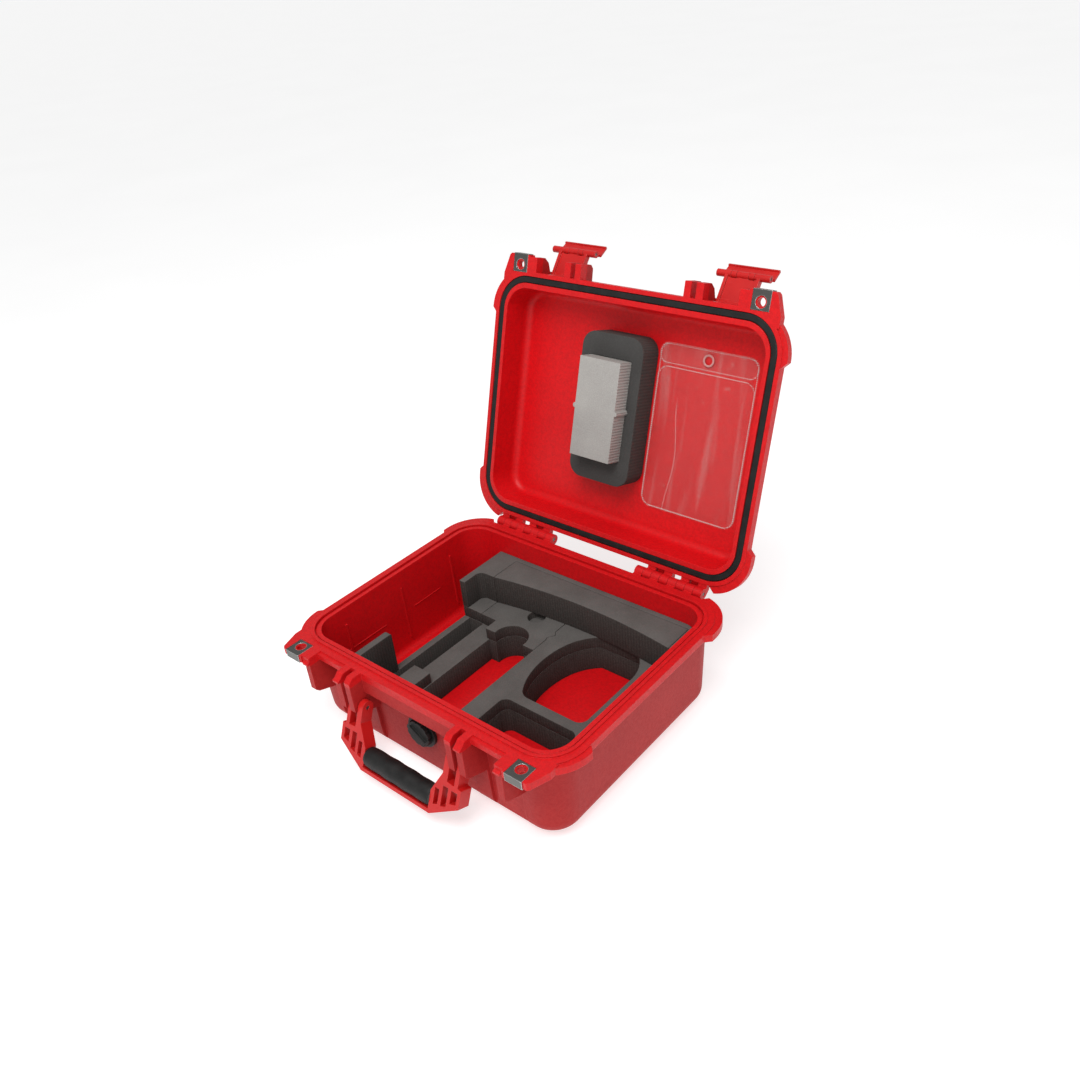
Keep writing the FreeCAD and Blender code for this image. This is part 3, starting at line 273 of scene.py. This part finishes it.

# %% [markdown]
# ## Red fittings
# Latches and the handle frame come from another tool with a finer, glossier skin. They are handled most, so
# their edges are paler, partly wear and partly a painted highlight, and there are thin scratches. Scratches
# could be drawn one by one. Stretched noise, cut to its highest ridges, gives as many as we like and none
# of them repeats.

# %% The fittings' finish
def fitting_red():
    recipe = Recipe("satin_red_fittings", Specular_IOR_Level=0.3)
    place = recipe.place()
    cloud = recipe.noise(place, 60.0, 3.0)
    scratch = recipe.noise(recipe.stretched(place, (30.0, 900.0, 900.0)), 1.0, 2.0).step(0.66, 0.72)
    worn_and_lit, soft_normal = recipe.edge_wear_and_highlight(0.0006)
    colour = recipe.blend(cloud, (0.44, 0.007, 0.008, 1.0), (0.58, 0.014, 0.012, 1.0))
    # Paler edges: partly wear, partly a painted highlight; the scratches are real marks.
    colour = recipe.blend(worn_and_lit * 0.4 + scratch * 0.10, colour, (0.88, 0.10, 0.09, 1.0))
    rough = 0.30 + cloud * 0.10 + scratch * 0.15
    relief = recipe.bump(recipe.cells(place, 1500.0), 0.00005, 0.5, soft_normal)
    return recipe.feed(Base_Color=colour, Roughness=rough, Normal=relief)

red_fittings = fitting_red()
print("mixed", red_fittings.name)

# %% [markdown]
# ## Brushed steel
# The padlock plates and the pins are stainless steel, brushed one way. The shader has an anisotropic gloss
# for this, but it shows no single marks. Long thin noise does: the coordinates are stretched across the
# brushing before the noise reads them, and colour, roughness and bump all follow the same marks.

# %% The steel's finish
def brushed_steel():
    recipe = Recipe("brushed_steel", Metallic=1.0)
    place = recipe.place()
    comb = recipe.noise(recipe.stretched(place, (60.0, 5200.0, 5200.0)), 1.0, 4.0, 0.7)
    smudge = recipe.noise(place, 140.0, 2.0)
    worn_and_lit, soft_normal = recipe.edge_wear_and_highlight(0.0008)
    # Painted reflection: the steel's colour is kept very dark to stand for a dark surrounding that it
    # reflects.
    colour = recipe.blend(comb, (0.07, 0.07, 0.066, 1.0), (0.22, 0.22, 0.21, 1.0))
    # Pale edges: partly wear, partly a painted highlight.
    colour = recipe.blend(worn_and_lit, colour, (0.80, 0.80, 0.78, 1.0))
    rough = 0.24 + comb * 0.12 + smudge * 0.12
    relief = recipe.bump(comb, 0.00003, 0.6, soft_normal)
    return recipe.feed(Base_Color=colour, Roughness=rough, Normal=relief)

steel = brushed_steel()
print("mixed", steel.name)

# %% [markdown]
# ## Rubber and black plastic
# The gasket is soft rubber with a dull skin, and the grip is the same rubber with a finer but deeper grain.
# The valve is hard black plastic. All are nearly black, so the difference lies in roughness and in dust: a
# thin grey film that settles in patches. Each could have its own recipe, but one recipe with five values
# keeps them a family.

# %% The black finishes
def black_skin(name, darkest, dust, rough, grain_scale, grain_depth):
    recipe = Recipe(name, Specular_IOR_Level=0.30)
    place = recipe.place()
    patch = recipe.noise(place, 90.0, 5.0, 0.6)
    grain = recipe.noise(place, grain_scale, 2.0)
    worn_and_lit, soft_normal = recipe.edge_wear_and_highlight(0.0005)
    dusty = patch.step(0.40, 0.75) * dust
    colour = recipe.blend(dusty, (darkest, darkest, darkest, 1.0), (0.17, 0.165, 0.155, 1.0))
    # Paler grey edges: partly wear, partly a painted highlight.
    colour = recipe.blend(worn_and_lit * 0.25, colour, (0.16, 0.16, 0.155, 1.0))
    shine = rough + patch * 0.14 - worn_and_lit * 0.08
    relief = recipe.bump(grain, grain_depth, 0.6, soft_normal)
    return recipe.feed(Base_Color=colour, Roughness=shine, Normal=relief)

seal_rubber = black_skin("seal_rubber", darkest=0.005, dust=0.05, rough=0.60, grain_scale=900.0,
                         grain_depth=0.00006)
grip_rubber = black_skin("grip_rubber", darkest=0.006, dust=0.07, rough=0.52, grain_scale=1300.0,
                         grain_depth=0.00012)
valve_plastic = black_skin("valve_plastic", darkest=0.008, dust=0.08, rough=0.38, grain_scale=1600.0,
                           grain_depth=0.00004)
print("mixed", seal_rubber.name, grip_rubber.name, valve_plastic.name)

# %% [markdown]
# ## Give the hard nodes their finish
# The hard pieces already have their right shape, so a node keeps its mesh and only its material slots
# change. The list goes by what each node is made of: the start of a name is enough to tell.

# %% Hand out the finishes
def finish_nodes(material, *starts):
    done = []
    for name, node in nodes.items():
        if name.startswith(starts):
            for slot in node.material_slots:
                slot.material = material
            done.append(name)
    print(material.name, "on", len(done), "nodes")

finish_nodes(base_red, "base_shell")
finish_nodes(lid_red, "lid_shell")
finish_nodes(red_fittings, "latch_link", "latch_lever", "handle_frame")
finish_nodes(steel, "hinge_pin", "latch_joint_pin", "latch_pivot_pin", "handle_pin")
finish_nodes(steel, "base_padlock_guard", "lid_padlock_guard")
finish_nodes(seal_rubber, "lid_gasket", "valve_seal")
finish_nodes(valve_plastic, "valve_body", "valve_knob", "valve_nut")

# %% [markdown]
# ## Foam
# The inserts are closed-cell foam, cut with a water jet. The skin on top is a warm grey with tiny pits,
# which are painted darker as painted shade. The cut walls are darker, partly because light sinks into the
# opened cells and partly as painted shade on the sides, with faint upright lines where the jet passed. The
# lines are a sine wave across the sheet that only the walls show. An attribute named wall, stored on each
# piece further down,
# tells skin from wall: the mesh knows which way its faces look, and a pattern alone doesn't.

# %% The foam's finish
def shaded(colour, factor):
    """A colour made darker or lighter."""
    return (*(min(1.0, part * factor) for part in colour[:3]), 1.0)

def cut_foam(name, skin, skin_dark, wall, shut, flute_depth, flute_pitch):
    recipe = Recipe(name, Specular_IOR_Level=0.12)
    place = recipe.place(shut)
    x, y = recipe.axes(place)[:2]
    edge = recipe.add("ShaderNodeAttribute", {"attribute_name": "wall"}, out="Fac").clamped()
    pores = recipe.cells(place, 900.0)
    fine = recipe.noise(place, 750.0, 4.0, 0.75)
    cloud = recipe.noise(place, 30.0, 4.0)
    flute = ((x + y) * (2.0 * math.pi / flute_pitch)).math("SINE") * 0.5 + 0.5
    top = recipe.blend(cloud.step(0.3, 0.7), skin_dark, skin)
    # On the walls the darker colour is partly the cut cells and partly painted shade on the sides.
    colour = recipe.blend(edge, top, wall)
    colour = recipe.blend(flute * edge * 0.35, colour, shaded(wall, 0.4))
    # Painted shade: the pits of the cells are darkened.
    colour = recipe.blend((1.0 - pores.step(0.05, 0.32)) * 0.35, colour, shaded(wall, 0.45))
    colour = recipe.blend(fine.step(0.48, 0.70) * 0.30, colour, shaded(skin, 1.5))
    relief = recipe.bump(pores, 0.00030, 0.35)
    relief = recipe.bump(fine, 0.00022, 0.5, relief)
    relief = recipe.bump(flute * edge, flute_depth, 0.8, relief)
    return recipe.feed(Base_Color=colour, Roughness=0.86 + fine * 0.12, Normal=relief)

# The base's walls are much darker than its skin, partly as painted shade on the sides.
dark_foam = cut_foam("dark_foam", skin=(0.112, 0.104, 0.098, 1.0), skin_dark=(0.086, 0.079, 0.074, 1.0),
                     wall=(0.056, 0.048, 0.044, 1.0), shut=False, flute_depth=0.00016, flute_pitch=0.0032)
lid_foam = cut_foam("lid_dark_foam", skin=(0.060, 0.058, 0.056, 1.0), skin_dark=(0.048, 0.046, 0.044, 1.0),
                    wall=(0.066, 0.060, 0.056, 1.0), shut=True, flute_depth=0.00014, flute_pitch=0.0032)
pale_foam = cut_foam("pale_foam", skin=(0.36, 0.345, 0.325, 1.0), skin_dark=(0.31, 0.295, 0.28, 1.0),
                     wall=(0.36, 0.34, 0.32, 1.0), shut=True, flute_depth=0.00060, flute_pitch=0.0028)
print("mixed", dark_foam.name, lid_foam.name, pale_foam.name)

# %% [markdown]
# ## Copy a solid and clean it
# A cut foam sheet could be drawn again from a plane, but the solid already has every cut-out in the right
# place. So a copy of its mesh is made. It comes as loose triangles: doubles are merged, and flat neighbours
# become one face, so that the next tools find real edges.

# %% Helpers for modelling by operator
def only(obj):
    """Deselect everything, then select and activate one object."""
    bpy.ops.object.select_all(action="DESELECT")
    obj.select_set(True)
    bpy.context.view_layer.objects.active = obj

def copy_of(node_name, piece_name):
    """A welded, cleaned copy of a node's mesh, with its own data and no parent."""
    piece = bpy.data.objects.new(piece_name, nodes[node_name].data.copy())
    bpy.context.scene.collection.objects.link(piece)
    only(piece)
    bpy.ops.object.mode_set(mode="EDIT")
    bpy.ops.mesh.select_all(action="SELECT")
    bpy.ops.mesh.remove_doubles(threshold=0.00001)
    bpy.ops.mesh.dissolve_limited(angle_limit=math.radians(1.0))
    bpy.ops.object.mode_set(mode="OBJECT")
    return piece

def dress(piece, material, slot_name, body, *replaced):
    """Finish, slot (not used), body and the nodes that the piece stands for."""
    piece.data.materials.clear()
    piece.data.materials.append(material)
    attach(piece, body)
    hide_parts(*replaced)

print("nodes can be copied, cleaned and dressed")

# %% [markdown]
# ## Soft edges and marked walls
# Foam has no sharp edges: a knife or a jet leaves them slightly round. Bevelling edge by edge in edit mode
# would do, but a Bevel modifier limited by angle finds them all at once. The walls are marked after it, so
# that the round strip between skin and wall gets a value between 0 and 1 and the two colours blend there.

# %% Soften edges and mark walls
sharp_from = math.radians(40.0)
smooth_below = math.radians(50.0)

def soften(piece, radius):
    bevel = piece.modifiers.new("soft_edges", "BEVEL")
    bevel.width = radius
    bevel.segments = 3
    bevel.limit_method = "ANGLE"
    bevel.angle_limit = sharp_from
    bevel.use_clamp_overlap = True
    triangles = piece.modifiers.new("triangles", "TRIANGULATE")
    triangles.quad_method = "BEAUTY"
    only(piece)
    for modifier in list(piece.modifiers):
        bpy.ops.object.modifier_apply(modifier=modifier.name)
    bpy.ops.object.shade_smooth_by_angle(angle=smooth_below)

def mark_walls(piece, up):
    """Store on each point which share of its faces are walls, 0 on the skin and 1 on a cut wall."""
    skin_from = 0.5
    mesh = piece.data
    attribute = mesh.attributes.new("wall", "FLOAT", "POINT")
    walls = [0] * len(mesh.vertices)
    faces = [0] * len(mesh.vertices)
    for polygon in mesh.polygons:
        is_wall = polygon.normal.dot(up) < skin_from
        for vertex in polygon.vertices:
            walls[vertex] += is_wall
            faces[vertex] += 1
    for vertex, count in enumerate(faces):
        attribute.data[vertex].value = walls[vertex] / max(1, count)

print("edges can be softened and walls marked")

# %% [markdown]
# ## Foam in the base
# The base holds eight blocks in three levels, and each stays its own piece, as it was cut. Their edges are
# rounded by less than a millimetre. Foam this firm keeps its shape, so it needs no cloth simulation.

# %% Cut the base's foam
base_foam = ("foam_bottom_sheet", "foam_left_sheet", "foam_right_sheet", "foam_small_block",
             "foam_post_base", "foam_surround", "foam_back_bar", "foam_front_post")
for node_name in base_foam:
    piece = copy_of(node_name, node_name.replace("foam_", "cut_foam_"))
    soften(piece, radius=0.0007)
    mark_walls(piece, Vector((0.0, 0.0, 1.0)))
    dress(piece, dark_foam, "dark_foam", "base", node_name)
    print(piece.name, "has", len(piece.data.polygons), "faces")

# %% [markdown]
# ## Foam in the lid
# The pad is glued inside the lid and holds a pale insert that sticks out of it. Both are cut as the base's
# foam is. Their own up direction is the way the open lid looks, which is straight down when the lid is
# shut, turned back by the lid's swing.

# %% Cut the lid's foam
lid_look = Matrix.Rotation(-lid_swing, 3, "X") @ Vector((0.0, 0.0, -1.0))
lid_blocks = (("lid_foam_pad", lid_foam, "dark_foam"),
              ("lid_foam_insert", pale_foam, "pale_foam"))
for node_name, material, slot_name in lid_blocks:
    piece = copy_of(node_name, node_name.replace("lid_foam_", "cut_lid_"))
    soften(piece, radius=0.0008)
    mark_walls(piece, lid_look)
    dress(piece, material, slot_name, "lid", node_name)
    print(piece.name, "has", len(piece.data.polygons), "faces")

# %% [markdown]
# ## Where a sheet of film lies
# The pouch hangs in the lid, and its welds run parallel to its edges. To draw them, the recipe has to know
# each sheet's box as it is with the lid shut, where the sheet lies level and its edges follow the axes.

# %% Measure a node with the lid shut
def corners_of(spots):
    """The lowest and the highest corner of some points."""
    low = Vector([min(spot[axis] for spot in spots) for axis in range(3)])
    high = Vector([max(spot[axis] for spot in spots) for axis in range(3)])
    return low, high

def shut_box(node_name):
    """The corners of a lid node's box as it is with the lid shut."""
    points = nodes[node_name].data.vertices
    return corners_of([shut_turn @ point.co + shut_shift for point in points])

pad_low, pad_high = shut_box("lid_foam_pad")
print("the lid's pad is", round((pad_high.z - pad_low.z) * 1000, 1), "mm thick")

# %% [markdown]
# ## Clear film
# The document pouch is soft clear vinyl. Seen against red it is a slight veil with a brighter welded edge,
# and the weld is a row of small dots. The shader can bend light as glass does, but a film this thin hardly
# does so. Alpha is simpler and survives an export: low in the middle, and higher on the rim, the dots, the
# creases and where light glints on a ripple.

# %% The film's finish
dot_waves = 1650.0
crease_offset = 0.024
crease_waves = 55.0
crease_sway = 0.0030
crease_start = -0.045
crease_full = -0.030

def weld_masks(from_edge, x, y):
    """The film's rim, the band of the weld along it, and the dots that the band is made of."""
    rim = 1.0 - from_edge.step(0.0, 0.0005)
    weld = from_edge.step(0.0006, 0.0009) * (1.0 - from_edge.step(0.0016, 0.0019))
    dots = ((x * dot_waves).math("SINE") * (y * dot_waves).math("SINE")).math("ABSOLUTE").step(0.35, 0.6)
    return rim, weld, dots

def clear_film(name, low, high, corner, veil, fold_share):
    recipe = Recipe(name, Specular_IOR_Level=0.5, IOR=1.45)
    place = recipe.place(True)
    x, y = recipe.axes(place)[:2]
    across = x - (low.x + high.x) / 2.0
    along = y - (low.y + high.y) / 2.0
    straight_x = (high.x - low.x) / 2.0 - corner
    straight_y = (high.y - low.y) / 2.0 - corner
    from_edge = corner - recipe.past_straight(across, along, straight_x, straight_y)
    rim, weld, dots = weld_masks(from_edge, x, y)
    streak = recipe.noise(recipe.stretched(place, (95.0, 9.0, 1.0)), 1.0, 2.0, 0.4)
    fold = (across + crease_offset - (y * crease_waves).math("SINE") * crease_sway).math("ABSOLUTE")
    crease = (1.0 - fold.step(0.0003, 0.0008)) * along.step(crease_start, crease_full)
    glint = recipe.noise(place, 75.0, 3.0).step(0.66, 0.74)
    alpha = veil + weld * dots * 0.34 + rim * 0.03 + streak.step(0.52, 0.72) * 0.06
    alpha = alpha + crease * fold_share + glint * 0.04
    milky = (weld + rim + crease * fold_share * 5.0).clamped()
    colour = recipe.blend(milky * 0.8, (0.85, 0.40, 0.38, 1.0), (0.95, 0.78, 0.76, 1.0))
    relief = recipe.bump(streak, 0.0030, 0.5)
    relief = recipe.bump(dots * weld, 0.0003, 0.8, relief)
    return recipe.feed(Base_Color=colour, Alpha=alpha, Roughness=0.14 + streak * 0.14, Normal=relief)

print("a film recipe with a weld dot every", round(1000.0 * math.pi / dot_waves, 1), "mm")

# %% [markdown]
# ## The document pouch
# The pouch is three sheets welded together: a back, a front with a crease in it, and a flap at its mouth.
# Each could be a plane made thick by a Solidify modifier, but the frame's plates already have the round
# corners. Their copies only get soft edges, and each its own film, because the weld has to follow its
# outline.

# %% Lay the pouch
for node_name, corner, veil, fold_share in (("pouch_back_sheet", 0.012, 0.02, 0.0),
                                            ("pouch_front_sheet", 0.012, 0.03, 0.12),
                                            ("pouch_flap", 0.0095, 0.05, 0.0)):
    low, high = shut_box(node_name)
    film = clear_film("clear_film_" + node_name.split("_")[1], low, high, corner, veil, fold_share)
    piece = copy_of(node_name, node_name.replace("pouch_", "vinyl_pouch_"))
    soften(piece, radius=0.00012)
    dress(piece, film, "clear_sheet", "lid", node_name)
    print(piece.name, "is", round((high.x - low.x) * 1000), "by", round((high.y - low.y) * 1000), "mm")

# %% [markdown]
# ## The pouch's snap
# A milky plastic ring closes the flap. Spinning a small circle would make it, and a torus is just that. It
# is made lying level, as with the lid shut, squeezed in edit mode to the snap's own thickness, and then
# swung open with the lid. Its place is applied to its mesh, as every finished piece needs it.

# %% Press the snap ring
ring_wire = 0.0010
snap_low, snap_high = shut_box("pouch_snap")
snap_centre = (snap_low + snap_high) / 2.0
snap_thin = (snap_high.z - snap_low.z) / 2.0
snap_radius = (snap_high.x - snap_low.x) / 2.0
bpy.ops.object.select_all(action="DESELECT")
bpy.ops.mesh.primitive_torus_add(major_segments=48, minor_segments=12, location=snap_centre,
                                 major_radius=snap_radius - ring_wire, minor_radius=ring_wire)
snap = bpy.context.object
snap.name = "pouch_snap_ring"
bpy.ops.object.mode_set(mode="EDIT")
bpy.ops.mesh.select_all(action="SELECT")
bpy.ops.transform.resize(value=(1.0, 1.0, snap_thin / ring_wire), center_override=snap_centre)
bpy.ops.object.mode_set(mode="OBJECT")
open_turn = Matrix.Translation(hinge) @ Matrix.Rotation(-lid_swing, 4, "X") @ Matrix.Translation(-hinge)
snap.matrix_world = open_turn @ snap.matrix_world
bpy.ops.object.transform_apply(location=True, rotation=True, scale=True)
bpy.ops.object.shade_smooth()
print("snap ring of radius", round(snap_radius * 1000, 1), "mm")

# %% The snap's finish
def snap_finish():
    recipe = Recipe("milky_snap", Specular_IOR_Level=0.5)
    cloud = recipe.noise(recipe.place(True), 500.0, 3.0)
    colour = recipe.blend(cloud, (0.62, 0.22, 0.21, 1.0), (0.80, 0.45, 0.43, 1.0))
    relief = recipe.bump(cloud, 0.0001, 0.5)
    rough = 0.22 + cloud * 0.2
    return recipe.feed(Base_Color=colour, Roughness=rough, Alpha=0.55 + cloud * 0.2, Normal=relief)

dress(snap, snap_finish(), "clear_sheet", "lid", "pouch_snap")
print("snap ring dressed, with", len(snap.data.polygons), "faces")

# %% [markdown]
# ## Measure the grip
# The grip is a rubber sleeve, moulded over the handle's bar, and the handle leans out from the front wall.
# It is easier to model upright, so its points are first turned back by that lean, and their box gives its
# size.

# %% Find the grip's size
grip_lean = math.radians(-23.0)
grip_pivot = Vector(joints["handle_pivot"]["pos_m"])
hang = Matrix.Rotation(-grip_lean, 3, "X")
grip_points = nodes["handle_grip"].data.vertices
grip_low, grip_high = corners_of([hang @ (point.co - grip_pivot) for point in grip_points])
grip_middle = (grip_low + grip_high) / 2.0
grip_half = (grip_high - grip_low) / 2.0
print("grip is", round(grip_half.x * 2000, 1), "mm long and", round(grip_half.y * 2000, 1), "mm thick")

# %% [markdown]
# ## The rubber grip
# The sleeve swells in the middle, has shallow waves for the fingers and closes in at both ends. A spin
# makes round sections only, and rings may be wider one way. So it starts as a disc at one end, which is
# extruded along the handle a ring at a time, and each ring is resized to the swell. Then the whole sleeve
# leans with the handle.

# %% Swell the grip
ring_count = 64
end_from, end_run, end_pinch = 0.93, 0.07, 0.22
waist, belly_rise, wave_rise, wave_count = 0.92, 0.04, 0.04, 4.0

def swell(share):
    """Size of a ring, for a share of the way along from -1 to 1."""
    end = max(0.0, abs(share) - end_from) / end_run
    wave = 0.5 - 0.5 * math.cos((share + 1.0) * wave_count * math.pi)
    belly = waist + belly_rise * math.cos(share * math.pi / 2.0)
    return (belly + wave_rise * wave) * math.sqrt(max(0.0, 1.0 - end_pinch * end * end))

bpy.ops.object.select_all(action="DESELECT")
bpy.ops.mesh.primitive_circle_add(vertices=48, radius=1.0, fill_type="NGON",
                                  location=(grip_low.x, 0.0, 0.0), rotation=(0.0, math.pi / 2.0, 0.0))
grip = bpy.context.object
grip.name = "rubber_grip"
bpy.ops.object.transform_apply(location=True, rotation=True, scale=True)
bpy.ops.object.mode_set(mode="EDIT")
bpy.ops.mesh.select_all(action="SELECT")
size = swell(-1.0)
first_size = (1.0, grip_half.y * size, grip_half.z * size)
bpy.ops.transform.resize(value=first_size, center_override=(grip_low.x, 0.0, 0.0))
step_along = (2.0 * grip_half.x / ring_count, 0.0, 0.0)
for ring in range(1, ring_count + 1):
    share = -1.0 + 2.0 * ring / ring_count
    bpy.ops.mesh.extrude_region_move(TRANSFORM_OT_translate={"value": step_along})
    growth = swell(share) / size
    bpy.ops.transform.resize(value=(1.0, growth, growth), center_override=(share * grip_half.x, 0.0, 0.0))
    size = swell(share)
bpy.ops.mesh.select_all(action="SELECT")
bpy.ops.mesh.normals_make_consistent(inside=False)
bpy.ops.object.mode_set(mode="OBJECT")
lean = Matrix.Translation(grip_pivot) @ Matrix.Rotation(grip_lean, 4, "X")
grip.matrix_world = lean @ Matrix.Translation(grip_middle)
bpy.ops.object.transform_apply(location=True, rotation=True, scale=True)
bpy.ops.object.shade_smooth_by_angle(angle=math.radians(60.0))
dress(grip, grip_rubber, "black_rubber", "handle", "handle_grip")
print("grip has", len(grip.data.polygons), "faces")

# %% [markdown]
# ## A pale floor
# A product shot stands on a pale floor that fades into a white room. A curved backdrop would do for one
# view. A very wide plane does for every view from above. It glows by itself, so that it stays white far
# away, and shadows still show on it.

# %% Floor
bpy.ops.object.select_all(action="DESELECT")
bpy.ops.mesh.primitive_plane_add(size=120.0, location=(0.0, 0.0, 0.0))
floor = bpy.context.object
floor.name = "pale_floor"
paper = Recipe("pale_paper", Roughness=0.9, Specular_IOR_Level=0.1, Emission_Strength=0.68)
tint = paper.noise(paper.place(), 3.0, 2.0)
shade = paper.blend(tint, (0.56, 0.56, 0.56, 1.0), (0.59, 0.59, 0.59, 1.0))
glow = paper.blend(tint, (0.90, 0.90, 0.90, 1.0), (0.93, 0.93, 0.93, 1.0))
floor.data.materials.append(paper.feed(Base_Color=shade, Emission_Color=glow))
print("floor laid")

# %% [markdown]
# ## Two soft lights
# A wide lamp stands high in front, a little to the right, so the shadow is soft and stays close to the
# case. A much weaker one stands further away in front, and lifts the front wall. The white world around
# them fills the rest. One strong lamp alone would leave the inside of the tub dark.

# %% Light
def soft_light(name, place, target, size, power):
    lamp = bpy.data.lights.new(name, "AREA")
    lamp.shape = "DISK"
    lamp.size = size
    lamp.energy = power
    holder = bpy.data.objects.new(name, lamp)
    holder.location = place
    holder.rotation_euler = (Vector(target) - Vector(place)).to_track_quat("-Z", "Y").to_euler()
    bpy.context.scene.collection.objects.link(holder)

soft_light("key", place=(0.35, -0.65, 1.75), target=(0.0, 0.0, 0.1), size=1.2, power=26.0)
soft_light("front", place=(0.9, -1.9, 0.7), target=(0.0, 0.05, 0.12), size=1.2, power=4.0)
world = bpy.data.worlds.new("white_room")
world.use_nodes = True
background = world.node_tree.nodes["Background"]
background.inputs["Color"].default_value = (1.0, 1.0, 1.0, 1.0)
background.inputs["Strength"].default_value = 0.50
bpy.context.scene.world = world
bpy.context.scene.view_settings.view_transform = "Standard"
print("two soft lights and a white room")

# %% [markdown]
# ## The camera
# The camera looks down over the right front corner, so that the foam, the lid's inside and the front wall
# all show. A constraint could aim it, but three directions say it plainly: back from the subject, level to
# the right and upright. The last two are then turned by a small roll.

# %% Camera
azimuth = math.radians(43.08)
elevation = math.radians(31.9)
roll = math.radians(-5.98)
level_share = math.cos(elevation)
back = Vector((math.sin(azimuth) * level_share, -math.cos(azimuth) * level_share, math.sin(elevation)))
level = Vector((0.0, 0.0, 1.0)).cross(back).normalized()
upright = back.cross(level)
right = math.cos(roll) * level + math.sin(roll) * upright
up = math.cos(roll) * upright - math.sin(roll) * level
camera = bpy.data.objects.new("camera", bpy.data.cameras.new("camera"))
camera.data.lens = 32.52
camera.data.sensor_width = 36.0
camera.matrix_world = Matrix((right, up, back)).transposed().to_4x4()
camera.matrix_world.translation = (0.5322, -0.5107, 0.6436)
bpy.context.scene.collection.objects.link(camera)
bpy.context.scene.camera = camera
print("camera at", tuple(round(v, 3) for v in camera.location))
